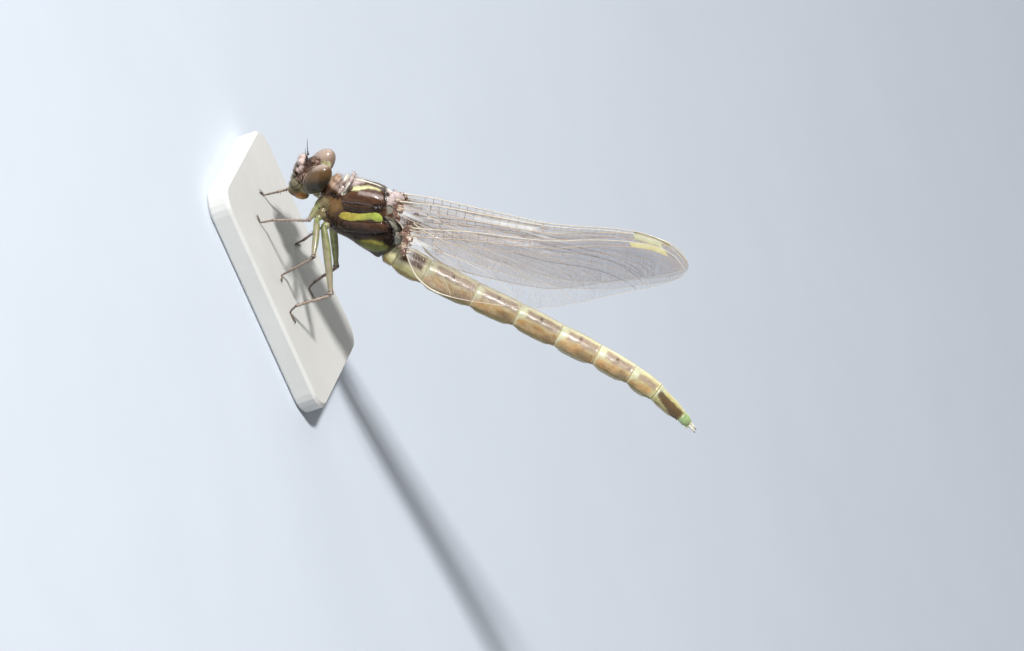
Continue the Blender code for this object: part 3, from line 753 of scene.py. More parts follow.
def thorax_finish():
    c = colours()
    f = Finish("thorax_shell", Coat_Weight=0.24, Coat_Roughness=0.16, Specular_IOR_Level=0.16)
    streak = f.share(f.streaks((0.3, 1.2, 1.2), 2.2), 0.4)
    brown = f.mix(streak, f.mottled(c.chestnut, 0.6, 0.25), c.deep_brown)
    along = f.read("along")
    green = f.mix(f.ramp(along, -1.6, 2.4), c.stripe_yellow, c.stripe_green)
    pink = f.mix(f.ramp(along, -5.2, -3.2), c.neck, c.mauve)
    colour = f.marked(
        brown,
        ("second", 0.3, 0.2, 0.9, 0.7, c.deep_brown),
        # low: deep brown towards the belly, the lower thorax's own colour and also painted shade of its
        # underside.
        ("low", 0.8, 0.4, 0.7, 0.8, c.deep_brown),
        ("golden", 0.35, 0.25, 0.9, 0.95, f.mottled(c.golden, 0.9, 0.25)),
        ("coxa", 0.25, 0.2, 1.2, 0.9, f.mottled(c.coxa, 0.9, 0.25)),
        ("pink", 0.25, 0.2, 1.2, 0.85, f.mottled(pink, 0.9, 0.22)),
        ("between", 0.2, 0.25, 1.2, 0.9, f.mottled(c.grey_green, 1.0, 0.3)),
        ("leaf", 0.4, 0.35, 1.1, 0.9, f.mottled(c.leaf, 1.0, 0.4)),
        ("leaf_light", 0.16, 0.2, 1.3, 0.5, f.mottled(c.stripe_yellow, 0.9, 0.3)),
        ("stripe", 0.07, 0.16, 1.8, 1.0, f.mottled(green, 1.1, 0.34)),
        ("shoulder", 0.12, 0.18, 1.5, 1.0, f.mottled(c.shoulder, 0.9, 0.2)),
        ("collar", 0.07, 0.08, 2.0, 1.0, f.mottled(c.collar, 1.5, 0.15)),
        ("line", 0.05, 0.04, 2.0, 0.45, c.mauve),
        # Painted highlight: a pale mauve band along the upper plate, where the light catches it.
        ("painted_highlight", 0.14, 0.12, 2.5, 0.42, c.mauve),
        # dark: the glossy dark spot, dark seams, low brown patch and back pit, and painted shade in the
        # hollow behind the neck plates.
        ("dark", 0.14, 0.12, 1.5, 0.92, c.deep_brown),
    )
    f.relief(0.22, 0.3, 0.04, Pits=6.5, Wrinkles=2.2)
    # Painted shade of deep brown in the grooves, and a faint painted highlight of mauve on the ridges.
    return f.paint(f.crease_shaded(colour, c.deep_brown, c.mauve, 0.7, 0.04))


def head_finish():
    c = colours()
    f = Finish("head_shell", Coat_Weight=0.3, Coat_Roughness=0.12, Specular_IOR_Level=0.3)
    colour = f.marked(
        f.mottled(c.face, 1.3, 0.4),
        ("brown", 0.3, 0.35, 1.6, 0.85, f.mottled(c.chestnut, 1.5, 0.4)),
        ("lip", 0.3, 0.3, 1.5, 0.85, f.mottled(c.lip, 1.4, 0.35)),
        ("jaw", 0.26, 0.25, 2.0, 1.0, f.mottled(c.jaw, 2.0, 0.3)),
        ("nape", 0.18, 0.2, 2.0, 1.0, f.mottled(c.nape, 1.4, 0.25)),
        ("dome", 0.26, 0.22, 2.0, 1.0, f.mottled(c.dome, 1.5, 0.2)),
        # dark: painted shade in the hollow between brow and eye, and in the band between the brow domes and
        # the crown.
        ("dark", 0.15, 0.22, 2.2, 0.9, f.mottled(c.face_dark, 2.0, 0.3)),
        ("seam", 0.05, 0.04, 3.0, 0.85, c.face_dark),
    )
    f.relief(0.28, 0.4, 0.03, Pits=9.0, Wrinkles=3.2)
    # Painted shade in the face's grooves, and a painted highlight of dome pink on its ridges.
    return f.paint(f.crease_shaded(colour, c.face_dark, c.dome, 0.7, 0.3))


def eye_finish():
    c = colours()
    f = Finish("eye_lens", Coat_Weight=0.5, Coat_Roughness=0.04, Specular_IOR_Level=0.3)
    shade = f.maths("ADD", f.read("level"), f.swing(f.noise(f.place, 0.55, 3.0), 0.7))
    low = f.mix(f.ramp(shade, -0.15, 0.5), f.mottled(c.eye_low, 0.8, 0.25), c.eye_mid)
    colour = f.mix(f.ramp(shade, 0.62, 1.05), low, f.mottled(c.eye_top, 0.8, 0.15))
    # Pale rim towards the head: the eye's own thin pale margin, and a painted sheen along its outline.
    colour = f.mix(f.share(f.ramp(f.read("rim"), 0.55, 1.0), 0.55), colour, c.eye_top)
    lens = f.add("ShaderNodeTexVoronoi", {"Vector": f.place, "Scale": 22.0}).outputs["Distance"]
    colour = f.mix(f.share(f.ramp(lens, 0.3, 0.75), 0.14), colour, c.eye_low)
    f.bumps(lens, 0.1, 0.03).invert = True
    rough = f.maths("ADD", 0.2, f.share(f.noise(f.place, 1.2), 0.16))
    f.feed(f.shader.inputs["Roughness"], rough)
    return f.paint(colour)


def abdomen_finish():
    c = colours()
    f = Finish("abdomen_shell", Coat_Weight=0.25, Coat_Roughness=0.18, Specular_IOR_Level=0.3,
               Subsurface_Weight=0.1, Subsurface_Radius=(0.001, 0.0007, 0.0003))
    streak = f.share(f.streaks((0.3, 1.0, 1.0), 1.7), 0.4)
    fine = f.share(f.streaks((0.6, 1.4, 1.4), 3.4), 0.22)
    orange = f.mix(streak, f.mottled(c.tail_orange, 0.75, 0.52), c.tail_pale)
    orange = f.marked(orange, ("rust", 0.8, 0.9, 0.8, 0.6, c.chestnut))
    mauve = f.mix(fine, f.mottled(c.tail_mauve, 0.8, 0.22), c.tail_pale)
    olive = f.mix(streak, f.mottled(c.tail_olive, 0.8, 0.35), c.tail_orange)
    colour = f.marked(
        f.mottled(c.tail_pale, 0.7, 0.16),
        ("late", 0.5, 0.5, 0.8, 0.75, f.mottled(c.tail_late, 0.8, 0.3)),
        ("side", 0.4, 0.75, 0.7, 0.92, orange),
        ("back", 0.28, 0.42, 0.8, 0.92, mauve),
        ("belly", 0.26, 0.4, 0.9, 0.9, olive),
        ("ring", 0.34, 0.3, 0.9, 0.75, f.mottled(c.tail_ring, 0.9, 0.15)),
        ("spot", 0.2, 0.25, 1.2, 0.9, c.chestnut),
        ("tip_green", 0.12, 0.15, 1.4, 0.95, f.mottled(c.tail_green, 1.2, 0.25)),
        # keel: the pale keels along the back and the lower side edge, also painted highlights of their lit
        # edges.
        ("keel", 0.05, 0.03, 2.0, 0.85, c.collar),
        ("seam", 0.035, 0.02, 3.0, 0.4, c.tail_olive),
    )
    f.relief(0.32, 0.55, 0.04, Pits=6.0, Wrinkles=2.0)
    return f.paint(colour)


def leg_finish():
    c = colours()
    f = Finish("leg_shell", Coat_Weight=0.35, Coat_Roughness=0.15)
    colour = f.marked(
        f.mottled(c.leg_green, 0.9, 0.42),
        ("streak", 0.22, 0.5, 1.3, 0.8, c.leg_brown),
        ("shin", 0.35, 0.25, 1.5, 1.0, f.mottled(c.leg_brown, 1.6, 0.35)),
        ("joint", 0.12, 0.1, 2.5, 0.8, c.deep_brown),
    )
    f.relief(0.34, 0.3, 0.03, Pits=9.0, Wrinkles=3.5)
    return f.paint(colour)


def dark_finish():
    f = Finish("dark_spines", Coat_Weight=0.2, Coat_Roughness=0.2)
    f.relief(0.38, 0.2, 0.02, Pits=12.0, Wrinkles=5.0)
    return f.paint(f.mottled(colours().spine, 2.0, 0.4))


def hair_finish():
    f = Finish("fine_hair", Roughness=0.5)
    return f.paint(f.mottled(colours().hair, 2.0, 0.4))


def cercus_finish():
    c = colours()
    f = Finish("tail_appendage", Coat_Weight=0.3, Coat_Roughness=0.2)
    f.relief(0.36, 0.3, 0.02, Pits=12.0, Wrinkles=5.0)
    return f.paint(f.marked(f.mottled(c.collar, 1.6, 0.25), ("tip", 0.2, 0.1, 2.5, 1.0, c.face)))


def hinge_finish():
    c = colours()
    f = Finish("wing_hinge", Coat_Weight=0.7, Coat_Roughness=0.1)
    tone = f.maths("ADD", f.read("tone"), f.swing(f.noise(f.place, 1.8), 0.5))
    brown, tan = f.mottled(c.hinge, 1.6, 0.45), f.mottled(c.vein_tan, 1.6, 0.35)
    colour = f.mix(f.ramp(tone, 0.4, 0.7), brown, tan)
    colour = f.mix(f.ramp(tone, 0.75, 0.98), colour, f.mottled(c.vein_pale, 1.6, 0.3))
    f.relief(0.24, 0.4, 0.03, Pits=8.0, Wrinkles=3.5)
    # Painted shade in the hinges' grooves, and a painted highlight of pale cream on their ridges.
    return f.paint(f.crease_shaded(colour, c.deep_brown, c.vein_pale, 0.9, 0.35))


def vein_finish():
    c = colours()
    f = Finish("wing_vein", Coat_Weight=0.4, Coat_Roughness=0.15)
    tone = f.maths("ADD", f.read("tone"), f.swing(f.noise(f.place, 0.7), 0.25))
    colour = f.mix(f.ramp(tone, 0.05, 0.5), c.vein_dark, c.vein_tan)
    colour = f.mix(f.ramp(tone, 0.5, 0.95), colour, c.vein_pale)
    f.relief(0.3, 0.2, 0.02, Pits=9.0, Wrinkles=4.0)
    return f.paint(colour)


def spot_finish():
    c = colours()
    f = Finish("wing_spot", Coat_Weight=0.5, Coat_Roughness=0.12)
    streak = f.share(f.streaks((0.3, 1.5, 1.0), 2.2), 0.35)
    plain = f.mix(f.read("warm"), c.wing_spot, c.spot_warm)
    f.relief(0.25, 0.3, 0.02, Pits=9.0, Wrinkles=4.0)
    return f.paint(f.mix(streak, f.mottled(plain, 0.9, 0.15), c.tail_ring))


def film_finish():
    """Wing membrane: smoky, nearly clear, milk-white near the root, with a silvery shine broken by its
    folds; its milk-white value carries painted highlights too.
    """
    c = colours()
    f = Finish("wing_film", Metallic=0.1, Specular_IOR_Level=1.0, Coat_Weight=1.0, Coat_Roughness=0.07)
    cloud = f.noise(f.place, 0.35, 4.0)
    milky_and_shine = f.read("milky_and_shine")
    far = f.add("ShaderNodeSeparateXYZ", {"Vector": f.place}).outputs["X"]
    clear = f.mix(f.ramp(cloud, 0.35, 0.65), c.leg_brown, f.mottled(c.mauve, 0.5, 0.15))
    smoky = f.mix(f.ramp(far, 8.0, 28.0), clear, c.film)
    cells = f.add("ShaderNodeTexVoronoi", {"Vector": f.place, "Scale": 1.15}).outputs["Distance"]
    f.bumps(f.maths("ADD", f.share(cells, 0.6), f.share(f.noise(f.place, 2.2), 0.4)), 0.55, 0.14)
    f.feed(f.shader.inputs["Roughness"], f.maths("ADD", 0.12, f.share(cloud, 0.14)))
    edge = f.add("ShaderNodeLayerWeight", {"Blend": 0.35}).outputs["Facing"]
    # Where the film is milk-white or carries a painted highlight it is less clear as well as paler.
    thick = f.maths("ADD", f.share(milky_and_shine, 0.62), f.share(cloud, 0.08))
    alpha = f.maths("ADD", 0.09, f.maths("ADD", thick, f.share(edge, 0.24)))
    f.feed(f.shader.inputs["Alpha"], alpha)
    return f.paint(f.mix(f.ramp(milky_and_shine, 0.1, 0.45), smoky, c.shine))


def painted_finish(name, colour, scale, amount, relief, **plain):
    """An even, faintly mottled paint, with its grain counted in metres, for the base and the floor."""
    f = Finish(name, **plain)
    place = f.add("ShaderNodeTexCoord").outputs["Object"]
    f.relief(**relief, Place=place)
    return f.paint(f.use(mottle_group(), Place=place, Colour=colour, Scale=scale, Amount=amount)["Colour"])


# ---------------------------------------------------------------- thorax

# Neck and thorax: slanted rings from a belly point to a back point (x, z), with a half width
NECK_RINGS = (
    ((-5.6, -0.6), (-5.7, 1.4), 0.8),
    ((-5.35, -1.0), (-5.45, 1.7), 0.95),
    ((-5.15, -1.6), (-5.2, 2.4), 1.5),
    ((-4.85, -1.9), (-4.75, 2.6), 1.7),
    ((-4.3, -1.8), (-4.1, 2.4), 1.66),
)
THORAX_RINGS = (
    ((-4.25, -1.8), (-4.1, 2.0), 1.45),
    ((-4.0, -2.7), (-3.7, 3.0), 2.15),
    ((-3.0, -3.65), (-2.45, 3.72), 2.66),
    ((-1.4, -3.95), (-0.8, 4.24), 2.92),
    ((0.4, -3.75), (0.9, 4.62), 3.06),
    ((2.2, -3.85), (2.3, 4.6), 3.0),
    ((3.6, -3.85), (3.7, 3.85), 2.72),
    ((4.6, -3.95), (5.3, 2.05), 2.3),
    ((5.05, -3.85), (6.4, 0.6), 1.9),
    ((5.15, -3.6), (6.25, -0.45), 1.45),
)
# Swollen plates of each side, as outlines from the side (x, z)
UPPER_PLATE = ((-3.1, 1.4), (-3.05, 2.0), (-2.3, 2.85), (-1.45, 3.4), (-0.8, 3.95), (0.1, 4.35), (1.0, 4.4),
               (1.7, 4.15), (2.05, 3.6), (1.15, 3.1), (0.0, 2.45), (-1.1, 1.95), (-2.0, 1.38), (-2.7, 1.1))
SECOND_PLATE = ((-2.65, 1.0), (-1.8, 1.3), (0.1, 2.32), (0.8, 2.75), (1.95, 3.45), (2.4, 3.0), (1.6, 2.35),
                (0.1, 1.3), (-1.1, 0.65), (-2.1, 0.4))
STRIPE = ((-2.1, -0.95), (-2.15, -0.34), (-1.62, 0.19), (-0.49, 0.75), (0.46, 1.45), (1.43, 2.25),
          (2.15, 2.38), (2.87, 2.05), (2.95, 1.61), (2.38, 1.31), (1.61, 1.22), (1.01, 0.71), (0.34, 0.19),
          (-0.48, -0.55), (-1.38, -0.95))
THIRD_PLATE = ((-1.3, -1.1), (0.7, 0.15), (2.35, 1.05), (3.0, 1.5), (3.75, 1.45), (4.45, 0.7), (3.1, -0.2),
               (1.55, -1.25), (0.0, -2.3), (-1.2, -2.2))
FOURTH_PLATE = ((0.4, -2.35), (1.7, -1.55), (3.3, -0.6), (4.8, 0.25), (5.5, -0.3), (5.4, -1.6), (4.6, -2.7),
                (3.2, -3.3), (1.4, -3.4))
FRONT_PLATE = ((-4.4, -0.3), (-3.8, 0.55), (-3.15, 0.95), (-2.5, 0.45), (-2.4, -0.35), (-3.0, -1.35),
               (-3.9, -1.4))
# Each plate with its height and the width of its rounded edge
PLATES = ((UPPER_PLATE, 0.3, 0.85), (SECOND_PLATE, 0.22, 0.48), (STRIPE, 0.07, 0.3),
          (THIRD_PLATE, 0.24, 0.75), (FOURTH_PLATE, 0.22, 0.8), (FRONT_PLATE, 0.22, 0.6))
# Seams of the thorax from the side (x, z): each with its depth and half width
SEAMS = (
    (((-0.4, 4.55), (0.4, 4.68), (1.2, 4.62), (1.95, 4.1), (2.35, 3.4)), 0.1, 0.11),
    (((-1.1, -3.4), (0.1, -2.2), (1.55, -1.32), (3.15, -0.38), (4.75, 0.62)), 0.1, 0.11),
    (((-2.9, -2.9), (-2.1, -1.9), (-2.1, -1.1)), 0.08, 0.12),
    (((2.95, 2.1), (3.86, 1.86), (4.6, 1.3), (5.05, 0.72)), 0.12, 0.13),
    (((-3.75, -1.6), (-3.45, 0.9), (-3.6, 1.8), (-3.62, 2.6)), 0.12, 0.14),
)
# Lines and patches of colour on each side, from the side (x, z)
PALE_LINE = ((-2.75, 1.12), (-1.95, 1.42), (-1.08, 1.98), (0.04, 2.46), (0.85, 2.86))
# Painted highlight: a pale band along the upper plate's shoulder, where the light catches it.
PAINTED_HIGHLIGHT = ((-1.4, 3.1), (-0.5, 3.45), (0.5, 3.82), (1.35, 4.02))
SHOULDER = ((-2.5, 2.75), (-2.5, 3.25), (-2.05, 3.55), (-0.86, 4.1), (-0.04, 4.42), (0.55, 4.62),
            (0.7, 4.48), (-0.2, 4.22), (-0.75, 3.98), (-1.4, 3.55), (-1.95, 3.05))
LEAF_LIGHT = ((1.9, -2.15), (2.7, -1.45), (3.9, -1.0), (4.6, -1.05), (4.4, -1.35), (3.2, -1.65), (2.3, -2.2))
LEAF = ((1.6, -2.5), (2.6, -1.5), (4.3, -0.85), (5.3, -1.1), (5.5, -1.9), (4.75, -2.7), (2.8, -3.3))
GOLDEN = ((-4.5, 0.4), (-3.7, 0.8), (-3.1, 1.1), (-2.2, 0.5), (-2.3, -0.4), (-3.0, -1.5), (-4.0, -1.7),
          (-4.6, -0.8))
PINK = ((-5.7, 1.7), (-4.4, 1.45), (-3.5, 1.7), (-3.15, 2.3), (-2.7, 3.2), (-1.6, 4.0), (-1.9, 4.6),
        (-3.4, 4.9), (-5.7, 3.6))
BACK_PINK = ((0.0, 4.62), (1.2, 4.72), (2.0, 4.2), (2.4, 3.6), (3.0, 3.8), (3.6, 3.3), (4.7, 2.4),
             (5.6, 2.6), (3.9, 5.2), (2.6, 5.8), (0.6, 5.2))
BETWEEN = ((3.15, 2.35), (3.9, 2.5), (5.0, 2.1), (5.6, 1.2), (6.7, 0.9), (6.8, -0.8), (5.7, -0.6),
           (5.15, 0.7), (4.7, 1.45), (3.95, 2.0))
CREAM_PLATE = ((2.45, 3.45), (2.75, 3.85), (3.3, 3.7), (3.6, 3.1), (3.0, 2.8))
GLOSSY = ((0.7, 2.68), (1.3, 3.25), (1.95, 3.6), (2.2, 3.25), (1.85, 2.85), (1.3, 2.42), (0.9, 2.38))
# Painted shade: the hollow behind the neck plates, painted deep brown.
SHADED_HOLLOW = ((-4.9, 0.35), (-4.6, 0.9), (-4.0, 1.15), (-3.5, 1.2), (-3.6, 0.9), (-4.1, 0.45))
LOW_BROWN = ((3.9, -0.05), (5.3, 0.6), (5.75, -0.34), (5.44, -1.0), (4.42, -0.7))
# Middle line of the collar, on the animal's right, as (x, y, z)
COLLAR = ((-3.22, 2.1, 1.95), (-3.2, 2.0, 2.6), (-3.18, 1.62, 3.25), (-3.2, 1.05, 3.62),
          (-3.25, 0.2, 3.72))
TOP_HALF_WIDTH = 0.3  # from the middle plane: nearer than this a side pattern has faded out


# A round pit by the middle of the back and a shallow hollow low on the side: centre and radius
BACK_PIT = ((1.75, 0.95, 4.85), 0.55)
SIDE_HOLLOW = ((0.9, 3.05, -1.75), 0.42)


def slanted_loft(rings, count, sides, power):
    """A smooth body through slanted rings."""
    turn = 2 * math.pi * (np.arange(sides) + 0.5) / sides
    across = np.sign(np.cos(turn)) * abs(np.cos(turn)) ** (2 / power)
    up = np.sign(np.sin(turn)) * abs(np.sin(turn)) ** (2 / power)
    loops = []
    for middle, rise, wide in slanted_rings(rings, count):
        loops.append(middle + up[:, None] * rise + across[:, None] * np.array([0, wide, 0]))
    return np.concatenate(loops), ring_faces(count, sides)


def mirrored(heap, centre, radii, turn=None):
    """The same egg on both sides of the middle plane."""
    for _, sign in SIDES:
        spin = None if turn is None else Matrix.Rotation(math.radians(turn * sign), 3, "X")
        heap.add(ball((centre[0], sign * centre[1], centre[2]), radii, turn=spin))


def mirrored_tube(heap, points, radii):
    """The same tube on both sides of the middle plane."""
    for _, sign in SIDES:
        path = curve(np.array(points) * (1, sign, 1), 16)
        grow = curve(np.array(radii).reshape(-1, 1), 16)[:, 0]
        heap.add(tube(path, grow, 10))


def thorax_shapes():
    """Rounded bodies that run into the skin of neck and thorax."""
    heap = Heap()
    heap.add(slanted_loft(THORAX_RINGS, 46, 80, 2.2))
    heap.add(slanted_loft(NECK_RINGS, 20, 56, 2.1))
    # Prothorax: front rim, middle lobes, raised hind lobe and side plates
    heap.add(ball((-5.3, 0, 1.55), (0.26, 1.1, 0.62)))
    mirrored(heap, (-4.85, 0.55, 2.35), (0.36, 0.55, 0.4))
    heap.add(ball((-4.42, 0, 2.3), (0.2, 1.25, 0.62)))
    mirrored_tube(heap, ((-3.95, 1.25, 2.1), (-3.88, 1.05, 2.75), (-3.85, 0.55, 3.1), (-3.85, 0.1, 3.15)),
                  (0.16, 0.22, 0.26, 0.26))
    mirrored(heap, (-4.72, 1.36, 1.05), (0.44, 0.38, 0.95))
    mirrored(heap, (-5.12, 1.1, 0.9), (0.26, 0.4, 0.9))
    mirrored(heap, (-4.55, 1.35, -0.75), (0.6, 0.55, 0.85))
    # Collar over the front of the thorax
    mirrored_tube(heap, COLLAR, (0.18, 0.27, 0.3, 0.29, 0.26))
    # Plates of the back between the wings
    heap.add(ball((3.05, 0, 4.62), (0.95, 0.72, 0.5)))
    mirrored(heap, (3.3, 1.05, 4.22), (0.75, 0.42, 0.4))
    heap.add(ball((4.15, 0, 3.8), (0.5, 0.62, 0.42)))
    heap.add(ball((4.85, 0, 2.95), (0.62, 0.8, 0.42)))
    mirrored(heap, (5.15, 1.25, 2.25), (0.7, 0.45, 0.42))
    heap.add(ball((5.8, 0, 1.75), (0.48, 0.6, 0.38)))
    heap.add(ball((6.3, 0, 0.95), (0.35, 0.85, 0.3)))
    # Ridges that lead to the wing roots, and the cheeks behind them
    mirrored_tube(heap, ((2.0, 2.15, 4.05), (2.6, 1.95, 4.25), (3.3, 1.6, 4.25)), (0.12, 0.24, 0.16))
    mirrored_tube(heap, ((3.6, 2.45, 2.9), (4.6, 2.3, 2.6), (5.6, 2.0, 2.1)), (0.1, 0.2, 0.14))
    mirrored(heap, (4.05, 2.45, 1.75), (0.75, 0.4, 0.62))
    mirrored(heap, (5.55, 1.75, 0.55), (0.62, 0.5, 0.75))
    mirrored(heap, (6.0, 1.8, 0.25), (0.6, 0.5, 0.8))
    mirrored(heap, (6.3, 1.75, 1.45), (0.48, 0.45, 0.85))
    mirrored(heap, (6.55, 1.8, 0.7), (0.48, 0.42, 0.8))
    heap.add(ball((5.75, 0, 2.55), (0.75, 1.0, 0.5)))
    # Sockets of the legs
    for name, across, lean in (("fore_right", 0.72, 18), ("mid_right", 0.78, 12), ("hind_right", 0.86, 10)):
        x, y, z = LEGS[name][0]
        mirrored(heap, (x + 0.1, y * 0.92, z + 0.35), (across, 0.66, 0.85), turn=lean)
    return heap


def seam_relief(across, gate, seams, skin_value):
    """Push for a set of seams, and how deep inside a seam each point lies."""
    push = np.zeros(len(across))
    inside = np.full(len(across), -1.0)
    for line, depth, width in seams:
        away = line_distance(across, line)
        push -= gate * depth * (bell(away, width) + 0.35 * bell(away, width * 4))
        inside = np.maximum(inside, skin_value * width - away)
    return push, np.where(gate > 0.5, inside, -1.0)


class DRAGONFLY_OT_thorax(Operator):
    """Make the skin of neck and thorax, with its seams, stripes and leg sockets"""
    bl_idname = "dragonfly.thorax"
    bl_label = "Thorax"

    def execute(self, context):
        skin = fuse(thorax_shapes(), sizes().skin_step, softening=6)
        plain = skin.points
        side = plain[:, ::2]
        self.add_relief(skin, side)
        calm = step(-0.2, 0.35, patch_depth(side, GOLDEN))[:, None]
        skin.points = skin.points + calm * (skin.smoothed(skin.points, 14) - skin.points)
        piece("thorax_skin", skin.points, skin.faces, thorax_finish(),
              ("thorax", "prothorax"), self.markings(skin, plain, side))
        return {"FINISHED"}

    def add_relief(self, skin, side):
        """Seams, swollen plates, the keel of the back, a pit and a hollow."""
        x, y, z = skin.points.T
        gate = step(TOP_HALF_WIDTH, 3 * TOP_HALF_WIDTH, abs(y)) * step(-4.6, -4.0, x)
        push, _ = seam_relief(side, gate, SEAMS, 0.45)
        flank = step(0.7, 1.4, abs(y))
        push -= 0.12 * flank * step(-4.4, -3.6, x)
        for outline, rise, width in PLATES:
            push += rise * pillow(patch_depth(side, outline), width) * flank
        push += 0.12 * bell(y, 0.1) * span(-3.2, -2.6, 1.9, 2.4, x) * step(3, 4, z)
        push -= 0.06 * bell(abs(y) - 0.36, 0.16) * span(-3.0, -2.4, 1.9, 2.3, x) * step(3, 4, z)
        push += 0.012 * np.sin(3.1 * x + 1.3 * z) * np.sin(2.6 * z - 1.1 * x)
        crinkle = np.sin(9.0 * x + 5.0 * np.sin(4.0 * z)) * np.sin(11.0 * z - 6.0 * x)
        push += 0.045 * step(0.0, 0.15, patch_depth(side, GLOSSY)) * flank * crinkle
        soft = np.maximum(patch_depth(side, BETWEEN), patch_depth(side, BACK_PINK))
        push += 0.018 * step(0.0, 0.3, soft) * crinkle
        push -= 0.08 * step(-0.2, 0.3, ball_depth(skin.points, *SIDE_HOLLOW))
        push -= 0.16 * step(-0.1, 0.4, ball_depth(skin.points, *BACK_PIT))
        skin.push(push)

    def markings(self, skin, plain, side):
        """Depths inside the markings, in millimetres, told from the skin before its relief."""
        x, y, z = plain.T
        flank = np.where(abs(y) > 0.8, 1.0, -1.0)

        def inside(*outlines):
            return np.maximum.reduce([patch_depth(side, outline) for outline in outlines])

        def along(line, reach):
            return reach - line_distance(side, line)

        collar = 0.32 - line_distance(np.stack([x, abs(y), z], 1), COLLAR) - 0.9 * np.maximum(z - 3.45, 0)
        knob = 0.3 - np.hypot(x + 3.87, np.maximum(3.28 - z, 0) * 1.1)
        keel = 0.13 - np.where((x > -3) & (x < 2.1) & (z > 3), abs(y), 9.0)
        glossy = np.maximum(inside(GLOSSY), along(SEAMS[3][0], 0.17))
        # How hollow the skin is, for the painted shade in its grooves and painted highlight on its ridges;
        # halved towards the neck.
        crease_shading = skin.creases() * (1 - 0.5 * (1 - step(-4.2, -3.4, x)))
        return {
            "along": x,
            # Darker towards the belly and the rear: the lower thorax's own deep brown, and painted shade of
            # its underside.
            "low": -0.9 - z + 0.45 * x,
            "second": np.minimum(inside(SECOND_PLATE), flank),
            "golden": inside(GOLDEN),
            "pink": inside(PINK, BACK_PINK),
            "between": inside(BETWEEN, CREAM_PLATE),
            "coxa": np.maximum(ball_depth(skin.points, (-4.75, 1.75, -1.15), 1.15),
                               ball_depth(skin.points, (-4.0, 2.0, -2.6), 0.8)),
            "leaf": inside(LEAF),
            "leaf_light": np.minimum(inside(LEAF_LIGHT), flank),
            "stripe": np.minimum(inside(STRIPE), flank),
            "shoulder": np.minimum(inside(SHOULDER), abs(y) - 0.75),
            "collar": np.maximum.reduce([collar, keel, knob]),
            "line": np.minimum(along(PALE_LINE, 0.07), flank),
            # Painted highlight along the upper plate's shoulder
            "painted_highlight": np.minimum(along(PAINTED_HIGHLIGHT, 0.19), flank),
            # Includes painted shade in the hollow behind the neck plates.
            "dark": np.maximum.reduce([np.minimum(glossy, flank), along(SEAMS[0][0], 0.11),
                                       along(SEAMS[1][0], 0.1), inside(SHADED_HOLLOW, LOW_BROWN),
                                       ball_depth(plain, *BACK_PIT) - 0.05]),
            "crease_shading": crease_shading * (1 - 0.4 * step(3.6, 4.2, z)),
        }


def ball_depth(points, centre, radius):
    """How far inside a ball each point lies, on either side of the middle plane."""
    folded = points * (1, 0, 1) + np.abs(points) * (0, 1, 0)
    return radius - np.linalg.norm(folded - centre, axis=1)


# ---------------------------------------------------------------- abdomen

MARGIN = 120.0  # degrees from the back to the lower edge of the side plates
BACK_PATCH = (17.0, 60.0)
SIDE_PATCH = (62.0, 115.0)


def upright(angle):
    """The way up for something that slopes by an angle."""
    return np.array([-math.sin(angle), 0, math.cos(angle)])


def abdomen_stations(spacing):
    """Sections along the abdomen: middle, rise, half width, segment, share of it, and its length."""
    rows = []
    count = int(WAIST_LENGTH / spacing)
    for k, (middle, rise, wide) in enumerate(slanted_rings(WAIST_RINGS, count)):
        rows.append((middle, rise, wide, 1, k / (count - 1), WAIST_LENGTH))
    rows.pop()
    joints, slopes = [ABDOMEN_START], []
    for run, slope, _, _ in SEGMENTS:
        angle = math.radians(slope)
        slopes.append(angle)
        joints.append(joints[-1] + run * np.array([math.cos(angle), 0, math.sin(angle)]))
    for k, (run, _, front, middle_r) in enumerate(SEGMENTS):
        back = SEGMENTS[k + 1][2] if k + 1 < len(SEGMENTS) else TIP_RADIUS
        bend_in = slopes[max(k - 1, 0)]
        bend_out = slopes[min(k + 1, len(slopes) - 1)]
        count = int(run / spacing)
        for i in range(count):
            u = i / count
            middle = joints[k] + (joints[k + 1] - joints[k]) * u
            end = front if u < 0.5 else back
            r = end + (middle_r - end) * math.sin(math.pi * u)
            beside = bend_in if u < 0.5 else bend_out
            away = abs(2 * u - 1)
            lean = slopes[k] * (1 - away) + away * 0.5 * (slopes[k] + beside)
            rows.append((middle, r * upright(lean), r, k + 2, u, run))
    ahead = unit(joints[-1] - joints[-2])
    for reach, share in TIP_ROUND:
        r = TIP_RADIUS * share
        tip = joints[-1] + ahead * reach
        rows.append((tip, r * upright(slopes[-1]), r, len(SEGMENTS) + 1, 1.0, SEGMENTS[-1][0]))
    return rows


def abdomen_relief(side, after, before, segment):
    """Height of the abdomen's shell over its plain barrel."""
    plated = np.where(segment > 1, 1.0, 0.0)
    tail = np.where(segment < 10, 1.0, 0.0)
    near = np.minimum(after, before)
    height = -0.12 * bell(after, 0.09) * plated
    height -= 0.08 * bell(before, 0.035) * tail
    height += 0.055 * bell(before - 0.13, 0.09) * tail * (1 - step(MARGIN, MARGIN + 6, side))
    height += 0.016 * bell(after - 0.85, 0.05) * plated * (1 - step(110, 125, side))
    height += 0.04 * bell(side, 4.0) * plated
    height += 0.055 * bell(side - MARGIN, 3.0) * plated
    height -= 0.1 * step(MARGIN + 1, MARGIN + 8, side) * plated
    height -= 0.06 * bell(side - 148, 5) * plated
    height += 0.05 * bell(side - 180, 10)
    height -= 0.32 * bell(near, 0.75) * step(105, 150, side)
    height += 0.012 * np.sin(side / 9.0 + 2.0 * after) * np.sin(1.7 * after + side / 30)
    return height


